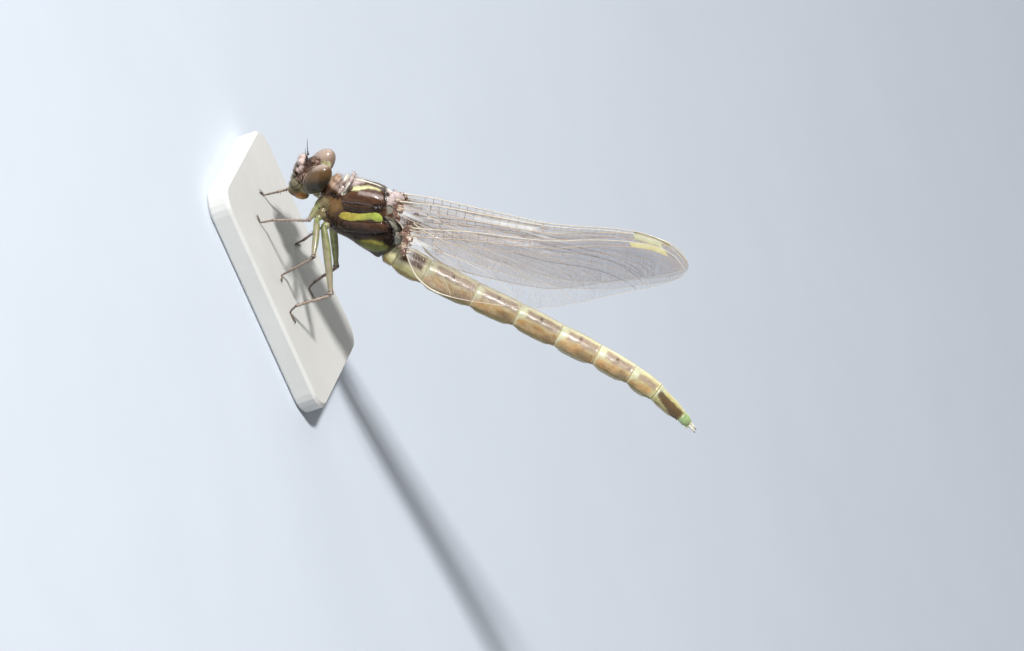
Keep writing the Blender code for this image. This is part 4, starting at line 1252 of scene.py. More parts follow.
class DRAGONFLY_OT_abdomen(Operator):
    """Make the abdomen's ten segments as one skin, with its joints, keels and patches"""
    bl_idname = "dragonfly.abdomen"
    bl_label = "Abdomen"

    around = 120

    def execute(self, context):
        rows = abdomen_stations(sizes().abdomen_step)
        turn = 360.0 * np.arange(self.around) / self.around
        angle = np.broadcast_to(np.where(turn > 180, turn - 360, turn), (len(rows), self.around))
        middle, rise, wide, segment, share, run = (
            np.array([row[k] for row in rows], float)[:, None] for k in range(6))
        segment, wide = segment + 0 * angle, wide + 0 * angle
        after, before = share * run + 0 * angle, (1 - share) * run + 0 * angle
        side = np.abs(angle)
        lift = 1 + abdomen_relief(side, after, before, segment) / wide - 0.012
        c, s = np.cos(np.radians(angle))[..., None], np.sin(np.radians(angle))[..., None]
        across = wide[..., None] * np.array([0, 1.0, 0])
        points = middle + lift[..., None] * (c * rise + s * across)
        heap = Heap()
        values = self.markings(side, after, before, segment, wide)
        heap.add((points.reshape(-1, 3), ring_faces(len(rows), self.around)),
                 **{k: v.ravel() for k, v in values.items()})
        self.add_end_plates(heap, rows[-len(TIP_ROUND)], values)
        points, faces, kept = heap.done()
        nodes = [f"abdomen_{k:02d}" for k in range(1, 11)]
        piece("abdomen_skin", points, faces, abdomen_finish(), nodes, kept)
        return {"FINISHED"}

    def markings(self, side, after, before, segment, radius):
        """Depths inside the abdomen's markings, in millimetres."""
        def band(low, high):
            return radius * np.radians(np.minimum(side - low, high - side))

        def only(test, depth):
            return np.where(test, depth, -1.0)

        body = (segment >= 3) & (segment <= 7)
        plates = (segment >= 3) & (segment <= 9) & (side < MARGIN)
        back = np.minimum.reduce([band(*BACK_PATCH), after - 1.1, before - 0.1])
        narrow = np.minimum.reduce([band(24, 62), after - 0.7, before - 0.35]) - 0.05
        second = np.minimum.reduce([band(10, 72), after - 0.35, before - 0.55])
        back = only(body, back) + only(segment == 8, narrow) + only(segment == 2, second) + 2.0
        flank = np.minimum.reduce([band(*SIDE_PATCH), after - 0.1, before + 0.1])
        late_side = np.minimum(flank, before - 0.5) - 0.15
        centre = np.hypot(before * 0.7 - 0.7, radius * np.radians(side - 96) * 1.3)
        spot = np.hypot((before - after) * 0.5 + 0.1, radius * np.radians(side - 34) * 0.6)
        nine = np.minimum.reduce([band(38, 60 + 15 * after), after - 0.3, before - 0.2])
        two = np.minimum.reduce([band(14, 66), after - 0.7, before - 0.7])
        late = np.where(segment == 9, 0.4, 0.0) + np.where(segment == 8, 0.15, 0.0) - 0.4 * (side < 16)
        late = np.where(segment <= 2, 0.8 * step(70, 105, side) - 0.3, late)
        joint = np.minimum(np.where(segment > 1, after, 9), np.where(segment < 10, before, 9))
        # Pale keel lines on the top and, from segment six on, on the lower side edge: real keels and painted
        # highlights of their lit edges.
        edge = 0.055 - radius * np.radians(np.abs(side - MARGIN)) - 0.3 * (segment < 6)
        keel = np.maximum(0.07 - radius * np.radians(side), edge)
        return {
            "back": back,
            "side": np.maximum(only(body, flank), only(segment == 8, late_side)),
            "rust": only(body, 0.8 - centre),
            "belly": radius * np.radians(side - MARGIN + 13) - 0.25 * (1 - step(0.0, 0.9, after)),
            "ring": only(plates, 0.95 - after - step(58, 92, side)),
            "spot": np.maximum.reduce([only(body, 0.2 - spot), only(segment == 9, nine + 0.1),
                                       only(segment == 2, two)]),
            "late": only((segment <= 2) | ((segment >= 8) & (segment <= 9)), late),
            "tip_green": only(segment == 10, after - 0.05),
            "keel": only(segment > 1, keel),
            "seam": 0.05 - joint,
        }

    def add_end_plates(self, heap, last, values):
        """The small plates round the tip of the abdomen."""
        middle, rise = last[:2]
        up = unit(rise)
        back = np.array([up[2], 0, -up[0]])
        pale = {**dict.fromkeys(values, -1.0), "tip_green": -0.1}
        heap.add(ball(middle + back * 0.18 + up * 0.22, (0.28, 0.34, 0.2), 20, 12), **pale)
        for _, sign in SIDES:
            centre = middle + back * 0.16 - up * 0.22 + np.array([0, sign * 0.26, 0])
            heap.add(ball(centre, (0.3, 0.24, 0.3), 20, 12), **pale)


class DRAGONFLY_OT_appendages(Operator):
    """Make the two short appendages at the tip of the abdomen"""
    bl_idname = "dragonfly.appendages"
    bl_label = "Tail appendages"

    def execute(self, context):
        finish = cercus_finish()
        for name, sign in SIDES:
            low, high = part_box("cercus_" + name)
            centre = pitched(np.array((low + high) / 2) / MM - ORIGIN)
            ahead = unit((1, sign * 0.12, -0.32))
            path = curve([centre - ahead * 0.62, centre - ahead * 0.2, centre + ahead * 0.25 - (0, 0, 0.02),
                          centre + ahead * 0.6 - (0, 0, 0.06)], 18)
            radii = curve([[0.13], [0.19], [0.15], [0.035]], 18)[:, 0]
            points, faces = tube(path, radii, 14)
            along = np.repeat(np.linspace(0, 1, 18), 14)
            piece("tail_appendage_" + name, points, faces, finish, ("cercus_" + name,),
                  {"tip": along - 0.8})
        return {"FINISHED"}


# ---------------------------------------------------------------- head

# Brow domes over the face, in the head frame; each stands on both sides
BROW_DOMES = ((-1.92, 0.62, 1.05), (-1.62, 1.3, 0.42))
# Seams of the face from the side (x, z): each with its depth and half width
HEAD_SEAMS = (
    (((-2.9, 0.46), (-2.1, 0.5), (-1.3, 0.05), (-1.0, -0.4)), 0.04, 0.09),
    (((-2.9, -0.36), (-1.9, -0.34), (-1.3, -0.55)), 0.05, 0.08),
    (((-2.9, -1.02), (-1.8, -0.98), (-1.1, -1.1)), 0.05, 0.08),
    (((-2.6, -2.18), (-1.5, -2.15), (-0.6, -2.35), (0.2, -2.2)), 0.07, 0.09),
    (((-1.45, -2.1), (-1.2, -1.2), (-1.15, -0.5)), 0.05, 0.09),
)
# Outline of the pale back of the head, from the side (x, z)
NAPE = ((0.2, 1.9), (1.0, 2.6), (2.4, 1.9), (2.2, 0.3), (1.5, -1.6), (1.1, -0.4), (1.3, 1.0))


def head_shapes():
    """Rounded bodies that run into the skin of the head."""
    heap = Heap()
    heap.add(ball((-0.15, 0, -0.55), (1.85, 2.25, 2.45), 48, 32))
    heap.add(ball((0.95, 0, 0.05), (0.92, 1.95, 1.95), 40, 28))
    for centre, radii in zip(BROW_DOMES, ((0.66, 0.8, 0.6), (0.56, 0.66, 0.74))):
        mirrored(heap, centre, radii)
    heap.add(ball((-1.72, 0, 0.82), (0.66, 1.5, 0.7), 40, 24))
    heap.add(ball((-1.98, 0, 0.05), (0.62, 1.62, 0.46), 32, 20))
    heap.add(ball((-2.0, 0, -0.68), (0.52, 1.3, 0.36), 32, 20))
    heap.add(ball((-1.8, 0, -1.58), (0.52, 1.36, 0.6), 32, 20))
    mirrored(heap, (-1.3, 1.55, -1.4), (0.72, 0.58, 0.95))
    mirrored(heap, (-1.0, 1.95, -0.35), (0.62, 0.42, 0.8))
    heap.add(ball((-1.3, 0, -2.75), (0.8, 0.62, 0.72), 28, 18))
    mirrored(heap, (-1.1, 0.82, -2.85), (1.0, 0.66, 0.72))
    heap.add(ball((-0.4, 0, -3.1), (1.3, 1.35, 0.72), 32, 20))
    # Crown: tubercle between the eyes, and the ridge behind it
    heap.add(ball((-0.78, 0, 1.66), (0.5, 0.85, 0.5), 32, 20))
    mirrored(heap, (-0.3, 0.55, 1.85), (0.42, 0.36, 0.36))
    heap.add(ball((0.55, 0, 1.62), (0.6, 1.05, 0.55), 32, 20))
    heap.add(tube(curve([(1.15, -1.55, 1.3), (1.3, -0.8, 1.85), (1.32, 0, 1.98), (1.3, 0.8, 1.85),
                         (1.15, 1.55, 1.3)], 30), 0.3, 14))
    mirrored(heap, (1.35, 1.3, -0.45), (0.55, 0.9, 1.65))
    heap.add(ball((1.45, 0, 0.1), (0.5, 1.1, 1.2), 28, 18))
    return heap


def eye_fit(points, sign):
    """Places of points in an eye's own frame, as shares of its radii."""
    return (points - EYE_PLACE * (1, sign, 1)) @ np.array(EYE_LEAN) / EYE_RADII


class DRAGONFLY_OT_head(Operator):
    """Make the head's skin: face plates, brow domes, crown, jaws and lips round the eyes"""
    bl_idname = "dragonfly.head"
    bl_label = "Head"

    def execute(self, context):
        skin = fuse(head_shapes(), sizes().head_step, softening=7)
        p = skin.points
        x, y, z = p.T
        side = np.stack([x, z], 1)
        front = step(-0.6, -1.1, x)
        push, seam = seam_relief(side, front, HEAD_SEAMS, 0.8)
        push -= 0.1 * bell(y, 0.1) * step(-1.6, -1.9, x) * step(0.5, 0.8, z)
        push -= 0.06 * bell(y, 0.08) * front * step(-2.1, -2.3, z)
        push += 0.012 * np.sin(5.1 * y + 2.0 * z) * np.sin(4.3 * z - 2.2 * y) * front
        for _, sign in SIDES:
            reach = np.linalg.norm(eye_fit(p, sign), axis=1)
            push += 0.07 * bell(reach - 1.05, 0.05) - 0.1 * bell(reach - 1.16, 0.05)
        skin.push(push)
        fold = np.stack([x, abs(y), z], 1)

        def near(centre, reach, squeeze=(1, 1, 1)):
            return reach - np.linalg.norm((fold - centre) * squeeze, axis=1)

        # Painted shade: a band across the head between the brow domes and the crown.
        crown = 0.42 - abs(x + 1.45) - 0.8 * np.maximum(1.2 - z, 0)
        values = {
            "brown": near((-1.75, 1.35, -0.55), 0.75, (0.9, 1, 0.9)),
            "lip": np.minimum(-0.9 - z, z + 3.1),
            "jaw": near((-0.1, 1.35, -3.05), 0.62, (0.7, 0.8, 1.2)),
            "nape": patch_depth(side, NAPE),
            "dome": np.maximum(near((-2.05, 0.62, 1.3), 0.62, (1, 0.8, 1)), near((-1.95, 1.45, 0.45), 0.48)),
            # Painted shade in the hollow between brow and eye, and in the band before the crown.
            "dark": np.maximum(near((-1.15, 0.95, 1.25), 0.6, (1, 0.8, 1)), crown),
            "seam": seam,
            # How hollow the skin is, for painted shade in the grooves and painted highlight on the ridges.
            "crease_shading": skin.creases(deep=0.028),
        }
        piece("head_skin", head_to_body(skin.points), skin.faces, head_finish(),
              ("head", "mouthparts"), values)
        self.add_simple_eyes()
        return {"FINISHED"}

    def add_simple_eyes(self):
        """Three glassy simple eyes round the tubercle of the crown."""
        heap = Heap()
        for centre in ((-1.22, 0, 1.72), (-0.72, -0.78, 1.82), (-0.72, 0.78, 1.82)):
            heap.add(ball(centre, (0.17, 0.17, 0.15), 20, 14), level=0.35, rim=0.0)
        points, faces, values = heap.done()
        piece("simple_eyes", head_to_body(points), faces, eye_finish(), (), values)


class DRAGONFLY_OT_eyes(Operator):
    """Make the two large eyes, dark below and pale above"""
    bl_idname = "dragonfly.eyes"
    bl_label = "Eyes"

    def execute(self, context):
        finish = eye_finish()
        for name, sign in SIDES:
            shape, faces = ball((0, 0, 0), (1, 1, 1), 128, 96)
            points = (shape * EYE_RADII) @ np.array(EYE_LEAN).T + EYE_PLACE * (1, sign, 1)
            outward = sign * shape[:, 1]
            inner = 0.5 * np.maximum(-outward, 0)
            level = shape[:, 2] * 0.8 - 0.55 * shape[:, 0] + inner
            eye = "eye_" + name
            # The rim: the eye's pale margin towards the head, and a painted sheen along the outline there.
            piece(eye + "_lens", head_to_body(points), faces, finish, (eye,),
                  {"level": level, "rim": 1 - step(0.0, 0.22, outward)})
        return {"FINISHED"}


class DRAGONFLY_OT_feelers(Operator):
    """Make the feelers: two thick joints and a fine bristle each"""
    bl_idname = "dragonfly.feelers"
    bl_label = "Feelers"

    def execute(self, context):
        finish = dark_finish()
        for name, sign in SIDES:
            root = np.array((-1.6, sign * 0.78, 1.72))
            way = unit((-0.52, sign * 0.35, 0.78))
            heap = Heap()
            heap.add(ball(root + way * 0.1, (0.17, 0.17, 0.15), 20, 12))
            heap.add(tube(curve([root + way * s for s in (0.12, 0.3, 0.46)], 8), 0.095, 12))
            bend = curve([root + way * 0.42, root + way * 1.1 + (0.02, 0, 0),
                          root + way * 1.7 + (0.08, 0, 0.02), root + way * 2.15 + (0.18, 0, 0.02)], 24)
            heap.add(tube(bend, np.linspace(0.055, 0.016, 24), 10))
            points, faces, _ = heap.done()
            piece("feeler_" + name, head_to_body(points), faces, finish, ("antenna_" + name,))
        return {"FINISHED"}


# ---------------------------------------------------------------- legs

DOWN = pitched((0, 0, -1))  # straight down in the room


def leg_joints(name):
    """Hip, knee, ankle and claw of a leg, in the body frame."""
    hip, knee, ankle, claw = LEGS[name]
    sole = np.array([0, 0, -SOLE_GAP + 0.15])
    return np.array(hip), from_ground(knee), from_ground(ankle), from_ground(np.array(claw) + sole)


def add_limb(heap, path, radii, sides, **values):
    """A limb with its values given at every ring."""
    shape = tube(path, radii, sides)
    heap.add(shape, **{k: np.repeat(v, sides) if np.ndim(v) else v for k, v in values.items()})


def leg_shape(name):
    """Thigh, shin and foot of one leg, with marks for the finish, and each limb's (path, radii)."""
    kind, side = name.split("_")
    out = -1 if side == "left" else 1
    thick, thin, foot = LEG_RADII[kind]
    hip, knee, ankle, claw = leg_joints(name)
    bend = hip + DOWN * 0.45 + (0, out * 0.5, 0)
    around = 24
    heap = Heap()
    # Coxa and trochanter
    hub = curve([hip + (0.1, -out * 0.6, 0.5), hip + (0, -out * 0.1, 0.1), (hip + bend) / 2, bend], 20)
    stout = 1.5 if kind == "fore" else 0.95
    girths = thick * curve([[stout], [stout], [0.5 * (1 + stout)], [0.8]], 20)[:, 0]
    add_limb(heap, hub, girths, around, shin=-1.0, streak=-0.1, joint=-0.4)
    # Thigh
    way = knee - bend
    bow = unit(np.cross(way, (0, 1, 0))) * 0.1
    u = np.linspace(0, 1, 60)
    thigh = curve([bend - way * 0.02, bend + way * 0.25 + bow, bend + way * 0.65 + bow, knee], len(u))
    belly = np.sin(math.pi * np.clip(u * 1.15, 0, 1)) ** 0.8
    swell = thick * (0.62 + 0.34 * belly + 0.16 * bell(u - 0.985, 0.03))
    length = np.linalg.norm(way)
    joint = 0.1 - np.minimum(u, abs(u - 0.96)) * length
    add_limb(heap, thigh, swell, around, shin=(u - 0.93) * length, streak=-1.0, joint=joint)
    outward = unit(np.cross(way, np.cross((0, out, 0.3), way)))
    outer = (heap.points[-1] - np.repeat(thigh, around, axis=0)) @ outward
    heap.values["streak"][-1] = outer - thick * 0.62 + 0.5 * (np.repeat(u, around) - 0.7)
    # Shin
    shank = ankle - knee
    lift = unit(np.cross(shank, (0, 1, 0))) * 0.08
    v = np.linspace(0, 1, 44)
    shin = curve([knee, knee + shank * 0.12 + lift, knee + shank * 0.6, ankle], len(v))
    girth = thin * (0.62 + 0.14 * bell(v - 0.05, 0.06) - 0.1 * v + 0.1 * bell(v - 1, 0.06))
    joint = 0.06 - np.minimum(v, 1 - v) * np.linalg.norm(shank)
    add_limb(heap, shin, girth, 18, shin=1.0, streak=-1.0, joint=joint)
    # Foot: three joints, the first the shortest
    run = claw - ankle
    level = run - run @ DOWN * DOWN
    heel = claw - level * 0.72
    w = np.linspace(0, 1, 40)
    track = curve([ankle, heel, heel + level * 0.36, claw], len(w))
    notch = bell(w - 0.3, 0.03) + bell(w - 0.62, 0.03)
    girths = foot * (0.56 - 0.1 * w - 0.18 * notch)
    add_limb(heap, track, girths, 14, shin=1.0, streak=-1.0, joint=0.08 * notch)
    return heap, {"thigh": (thigh, swell), "shin": (shin, girth), "foot": (track, np.full(len(w), 0.12))}


def spine_row(spines, path, radii, spread, count, length, start=0.12, end=0.95):
    """A row of spines along a limb, leaning to its far end."""
    for i in range(count):
        u = start + (end - start) * (i + 0.5) / count
        k = min(int(u * (len(path) - 1)), len(path) - 2)
        ahead = unit(path[k + 1] - path[k])
        out = unit(spread - ahead * (spread @ ahead))
        root = path[k] + out * radii[k] * 0.8
        reach = length * (0.75 + 0.35 * math.sin(2.1 * i + count))
        tip = root + (out * 0.72 + ahead * 0.62) * reach
        middle = (root + tip) / 2 + out * 0.04
        spines.add(tube([root, middle, tip], (0.026, 0.02, 0.005), 6))


class DRAGONFLY_OT_legs(Operator):
    """Make the six legs with their rows of spines and their claws"""
    bl_idname = "dragonfly.legs"
    bl_label = "Legs"

    def execute(self, context):
        shell, dark = leg_finish(), dark_finish()
        for name in LEGS:
            heap, limbs = leg_shape(name)
            points, faces, values = heap.done()
            nodes = [part + name for part in ("femur_", "tibia_", "tarsus_")]
            piece("leg_" + name, points, faces, shell, nodes, values)
            spines = self.spines(limbs)
            self.add_claws(spines, limbs["foot"][0])
            points, faces, _ = spines.done()
            piece("spines_" + name, points, faces, dark)
        return {"FINISHED"}

    def spines(self, limbs):
        """Rows of spines along thigh, shin and foot."""
        spines = Heap()
        long = sizes().spine_length
        thigh, shin = limbs["thigh"][0], limbs["shin"][0]
        inner = unit(np.cross(thigh[-1] - thigh[0], shin[-1] - shin[0]))
        toward = unit(shin[-1] - thigh[0])
        for sign in (-1, 1):
            spread = toward * 0.8 + inner * 0.6 * sign
            back = inner * 0.55 * sign - toward * 0.9
            spine_row(spines, *limbs["thigh"], spread, 14, long * 0.36, 0.2, 0.93)
            spine_row(spines, *limbs["shin"], back, 11, long * 0.85)
            spine_row(spines, *limbs["shin"], inner * 0.9 * sign - back, 9, long * 0.55)
        spine_row(spines, *limbs["foot"], DOWN, 9, long * 0.25, 0.35, 0.9)
        return spines

    def add_claws(self, spines, foot):
        """Two hooked claws at the end of a foot."""
        end = foot[-1]
        ahead = unit(foot[-1] - foot[-4])
        across = unit(np.cross(ahead, DOWN))
        for sign in (-1, 1):
            way = ahead + across * 0.55 * sign
            path = curve([end - ahead * 0.05, end + way * 0.2 - DOWN * 0.06,
                          end + way * 0.36 + DOWN * 0.02, end + way * 0.42 + DOWN * 0.12], 12)
            spines.add(tube(path, np.linspace(0.062, 0.012, 12), 8))


# ---------------------------------------------------------------- wings

# Height of each long vein over the plane of the blade at its root, in mm
FOLD = {"subcosta": -0.17, "radius": 0.12, "sector": -0.11, "sector_two": 0.05, "between": -0.07,
        "sector_three": 0.06, "media_front": -0.06, "media_back": 0.08, "cubitus": -0.07, "anal": 0.09}
# Share of the front vein's radius, and tone from dark (0) to cream (1), of each long vein
VEIN_LOOK = {"front": (1.0, 0.86), "subcosta": (0.62, 0.62), "radius": (0.85, 0.6), "sector": (0.55, 0.55),
             "sector_two": (0.42, 0.48), "between": (0.5, 0.16), "sector_three": (0.38, 0.66),
             "media_front": (0.42, 0.66), "media_back": (0.44, 0.86), "cubitus": (0.4, 0.9),
             "anal": (0.4, 0.9), "rear": (0.52, 1.15)}
CELL = 0.74  # width of a wing cell, in mm
ZIGZAG = 0.09  # how far the rows of cells swing to either side, in mm
RUNG_STEPS = (1.12, 0.86)  # between rungs behind the front edge, before and behind the nodus, in mm
BLADE_GRID = (320, 140)  # stations of a blade's heights, along and across
FILM_GRID = (230, 64)  # points of the membrane, along and across
WING_END = 0.995  # share of the span where the blade closes
NET_START, NET_LENGTH = 0.025, 0.96  # shares of the span where the net of cells starts, and that it takes up


class Wing:
    """One wing's blade as a flat map: t along the span, q millimetres behind the front edge."""

    def __init__(self, kind, sign):
        data = WINGS[kind]
        self.data, self.sign = data, sign
        self.root, tip = np.array(data["root"], float), np.array(data["tip"], float)
        self.span = tip - self.root
        self.length = np.linalg.norm(self.span)
        self.down = unit((self.span[2], 0, -self.span[0]))
        self.plan = curve(data["plan"], 240)
        self.plan = self.plan[np.argsort(self.plan[:, 0])]
        self.lines = {name: curve(points, 80) for name, points in data["veins"]}
        self.grid = [np.linspace(0, 1, count) for count in BLADE_GRID]
        self.heights = np.array([self.section(t) for t in self.grid[0]])

    def chord(self, t):
        t_plan, lead, trail = self.plan.T
        return np.interp(t, t_plan, lead + trail)

    def vein(self, name, t):
        """Distance of a long vein behind the front edge, nan where it has none."""
        if name == "front":
            return np.zeros_like(np.asarray(t, float))
        if name == "rear":
            return self.chord(t)
        line = self.lines[name]
        q = np.interp(t, line[:, 0], line[:, 1], left=np.nan, right=np.nan)
        return np.where(q < self.chord(t) - 0.02, q, np.nan)

    def order(self, t):
        """The long veins present at t, from front to rear."""
        found = [("front", 0.0)]
        for name in self.lines:
            q = float(self.vein(name, t))
            if not math.isnan(q):
                found.append((name, q))
        found.append(("rear", float(self.chord(t))))
        return sorted(found, key=lambda item: item[1])

    def section(self, t):
        """Height of the folded blade over its plane, across the chord at t."""
        found = self.order(t)
        fade = 1 - 0.6 * t
        q = [v for _, v in found]
        h = [FOLD.get(name, 0.0) * fade for name, _ in found]
        return np.interp(self.grid[1] * self.chord(t), q, h)

    def at(self, t, q, lift=0.0):
        """Points of the blade."""
        t, q = np.broadcast_arrays(np.asarray(t, float), np.asarray(q, float))
        t_plan, lead, _ = self.plan.T
        rows, columns = BLADE_GRID
        u = np.clip(t, 0, 1) * (rows - 1)
        v = np.clip(q / self.chord(t), 0, 1) * (columns - 1)
        i, j = np.minimum(u.astype(int), rows - 2), np.minimum(v.astype(int), columns - 2)
        fu, fv = u - i, v - j
        front = self.heights[i, j] * (1 - fu) + self.heights[i + 1, j] * fu
        back = self.heights[i, j + 1] * (1 - fu) + self.heights[i + 1, j + 1] * fu
        height = front * (1 - fv) + back * fv
        near, far = self.data["side"]
        lean_root, lean_tip = self.data["lean"]
        out = near + (far - near) * np.minimum(t / 0.5, 1)
        lean = lean_root + (lean_tip - lean_root) * t
        y = self.sign * (out + height + lift + lean * q)
        below = q - np.interp(t, t_plan, lead)
        plane = self.root + self.span * t[..., None] + self.down * below[..., None]
        return plane + y[..., None] * np.array([0, 1.0, 0])

    def flat(self, t, q):
        """The same points in the wing's own flat map, for its finish."""
        t, q = np.broadcast_arrays(np.asarray(t, float), np.asarray(q, float))
        return np.stack([t * self.length, q, np.full(t.shape, float(self.sign))], -1)


def wing_film(wing):
    """The membrane: one sheet with the folds of the blade, and how milk-white each point is, painted
    highlights included.
    """
    rows, columns = FILM_GRID
    t, share = np.meshgrid(np.linspace(0, WING_END, rows), np.linspace(0, 1, columns), indexing="ij")
    q = share * wing.chord(t)
    points = wing.at(t, q).reshape(-1, 3)
    a = (np.arange(rows - 1)[:, None] * columns + np.arange(columns - 1)[None, :]).ravel()
    faces = np.stack([a, a + 1, a + columns + 1, a + columns], 1)
    radius = np.nan_to_num(wing.vein("radius", t), nan=0.6)
    patchy = 0.6 + 0.4 * np.sin(31.0 * t + 2.0 * q) * np.sin(17.0 * t + 1.0)
    # Milk-white film at the root, which also stands for painted glints there; the band along the radius and
    # the streak from the root are painted highlights.
    milky_and_shine = 0.55 * (1 - step(0.0, 0.05, t))
    milky_and_shine += 0.3 * bell(q - radius, 0.22) * patchy * (1 - step(0.5, 0.9, t))
    milky_and_shine += 1.2 * bell(q - 1.2 - 11.0 * t, 0.28) * (1 - step(0.05, 0.12, t))
    milky_and_shine += 0.16 * bell(q - 2.6 - 3.0 * t, 0.5) * patchy * (1 - step(0.3, 0.6, t))
    milky_and_shine += 0.12 * (1 - step(0.0, 0.25, wing.chord(t) - q))
    # Painted highlights: bright strips where the folds catch the light, before and behind the nodus
    bright = wing.data["shine"] * (0.9 + 0.25 * np.sin(70.0 * t + 3.0 * q))
    milky_and_shine += 1.1 * bright * bell(q - 0.5, 0.3) * span(0.2, 0.34, 0.44, 0.5, t)
    milky_and_shine += 1.2 * bright * bell(q - 1.25 - 5.0 * (t - 0.45), 0.15) * span(0.4, 0.45, 0.53, 0.58, t)
    return points, faces, milky_and_shine.ravel(), wing.flat(t, q).reshape(-1, 3)


def long_veins(wing, heap, spots):
    """The long veins as fine tubes on the blade."""
    thick = sizes().vein
    for name, (share, tone) in VEIN_LOOK.items():
        if name in ("front", "rear"):
            t = np.linspace(0, WING_END, 200)
        else:
            line = wing.lines[name][:, 0]
            t = np.linspace(line[0], line[-1], max(12, int((line[-1] - line[0]) * 200)))
        q = wing.vein(name, t)
        keep = ~np.isnan(q)
        t, q = t[keep], q[keep]
        path = wing.at(t, q)
        girth = thick * share * (1.05 - 0.45 * t) * (1 + 0.5 * (1 - step(0.0, 0.04, t)))
        if name == "rear":
            girth = girth * (1 + 1.9 * span(0.0, 0.05, 0.08, 0.26, t))
        shade = tone - 0.14 * step(0.5, 0.9, t) * (name in ("radius", "sector"))
        heap.add(tube(path, girth, 6), tone=np.repeat(shade, 6))
        spots.append(np.repeat(wing.flat(t, q), 6, axis=0))


def add_sticks(wing, heap, spots, rows):
    """Cross veins from rows of (t, q, t, q, radius, tone)."""
    rows = np.array(rows)
    starts, ends = wing.at(rows[:, 0], rows[:, 1]), wing.at(rows[:, 2], rows[:, 3])
    heap.add(sticks(starts, ends, rows[:, 4]), tone=np.repeat(rows[:, 5], 8))
    flat = np.stack([wing.flat(rows[:, 0], rows[:, 1]), wing.flat(rows[:, 2], rows[:, 3])], 1)
    spots.append(np.repeat(flat.reshape(-1, 3), 4, axis=0))


def ladder_rows(wing):
    """The regular rungs behind the front edge, with the brace at the nodus and the triangle."""
    data, rows = wing.data, []
    nodus, (spot_start, _) = data["nodus"], data["spot"]
    pitch = RUNG_STEPS[0] / wing.length
    t = data["first_rung"]
    while t < nodus - 0.3 * pitch:
        tone = 0.08 + 0.36 * (t / nodus) ** 2
        sub, rad = float(wing.vein("subcosta", t)), float(wing.vein("radius", t))
        slant = 0.04 / wing.length
        rows.append((t, 0.0, t + slant, sub, 0.031, tone))
        rows.append((t + slant, sub, t + 2 * slant, rad, 0.031, tone))
        t += pitch
    pitch = RUNG_STEPS[1] / wing.length
    t = nodus + 0.8 * pitch
    while t < spot_start - 0.4 * pitch:
        rad = float(wing.vein("radius", t))
        rows.append((t, 0.0, t + 0.06 / wing.length, rad, 0.022, 0.3))
        t += pitch
    t = data["spot"][1] + 0.6 * pitch
    while t < 0.975:
        rad = float(wing.vein("radius", t))
        rows.append((t, 0.0, t, rad, 0.02, 0.3))
        t += 0.8 * pitch
    # The brace at the nodus and the start of the sectors
    rad = float(wing.vein("radius", nodus))
    for shift, girth in ((0.0, 0.06), (0.22, 0.045)):
        low, high = nodus + shift / wing.length, nodus + (shift + 0.25) / wing.length
        rows.append((low, 0.0, (low + high) / 2, rad * 0.5, girth, 0.5))
        rows.append(((low + high) / 2, rad * 0.5, high, rad, girth * 0.8, 0.45))
    begin = wing.lines["sector"][0]
    other = wing.lines["media_front"][0]
    rad = float(wing.vein("radius", begin[0]))
    rows.append((begin[0], rad, begin[0], begin[1], 0.04, 0.3))
    rows.append((begin[0], begin[1], other[0], other[1], 0.04, 0.3))
    # The triangle behind the start of the sectors
    back = wing.lines["media_back"][0]
    corner = (back[0] - 0.035, float(wing.vein("media_front", back[0] - 0.035)))
    root = (back[0] - 0.02, back[1] + 0.35)
    for a, b in ((corner, back), (back, root), (root, corner)):
        rows.append((a[0], a[1], b[0], b[1], 0.034, 0.42))
    return rows


def cell_fields(wing, t):
    """The fields between neighbouring long veins at t: names, edges and how many rows of cells."""
    fields = {}
    here = wing.order(t)
    for (front, qa), (rear, qb) in zip(here, here[1:]):
        ladder = front == "front" or (front == "subcosta" and t < wing.data["nodus"])
        if not ladder and qb - qa > 0.15:
            fields[front, rear] = max(1, round((qb - qa) / CELL))
    return fields


def cell_rows(wing):
    """The net of cells: rungs between the long veins, and zigzag rows where a field is wide."""
    rows = []
    pitch = CELL / wing.length
    count = int(NET_LENGTH / pitch)

    def corner(pair, lanes, lane, half):
        t = min(NET_START + half * pitch / 2, 0.993)
        a, b = float(wing.vein(pair[0], t)), float(wing.vein(pair[1], t))
        zig = 0 if lane in (0, lanes) else ZIGZAG * (1 if (half + lane) % 2 else -1)
        return t, a + (b - a) * lane / lanes + zig

    def rung(low, high, radius, tone):
        short = low[0] == high[0] and high[1] - low[1] <= 0.08
        if not (short or math.isnan(low[1]) or math.isnan(high[1])):
            rows.append((*low, *high, radius, tone))

    before = {}
    for k in range(count):
        fields = cell_fields(wing, NET_START + k * pitch)
        ahead = cell_fields(wing, min(NET_START + (k + 1) * pitch, 0.99))
        for pair, lanes in fields.items():
            tone = 0.62 + 0.2 * (pair[1] == "rear") - 0.26 * step(0.4, 0.85, k / count)
            if before.get(pair) != lanes:
                rung(corner(pair, 1, 0, 2 * k), corner(pair, 1, 1, 2 * k), 0.0125, tone)
            for lane in range(lanes):
                half = 2 * k + lane % 2
                rung(corner(pair, lanes, lane, half), corner(pair, lanes, lane + 1, half), 0.0105, tone)
                if lane > 0 and pair in ahead:
                    for half in (2 * k, 2 * k + 1):
                        here, beyond = corner(pair, lanes, lane, half), corner(pair, lanes, lane, half + 1)
                        rung(here, beyond, 0.011, tone)
        before = fields
    return rows


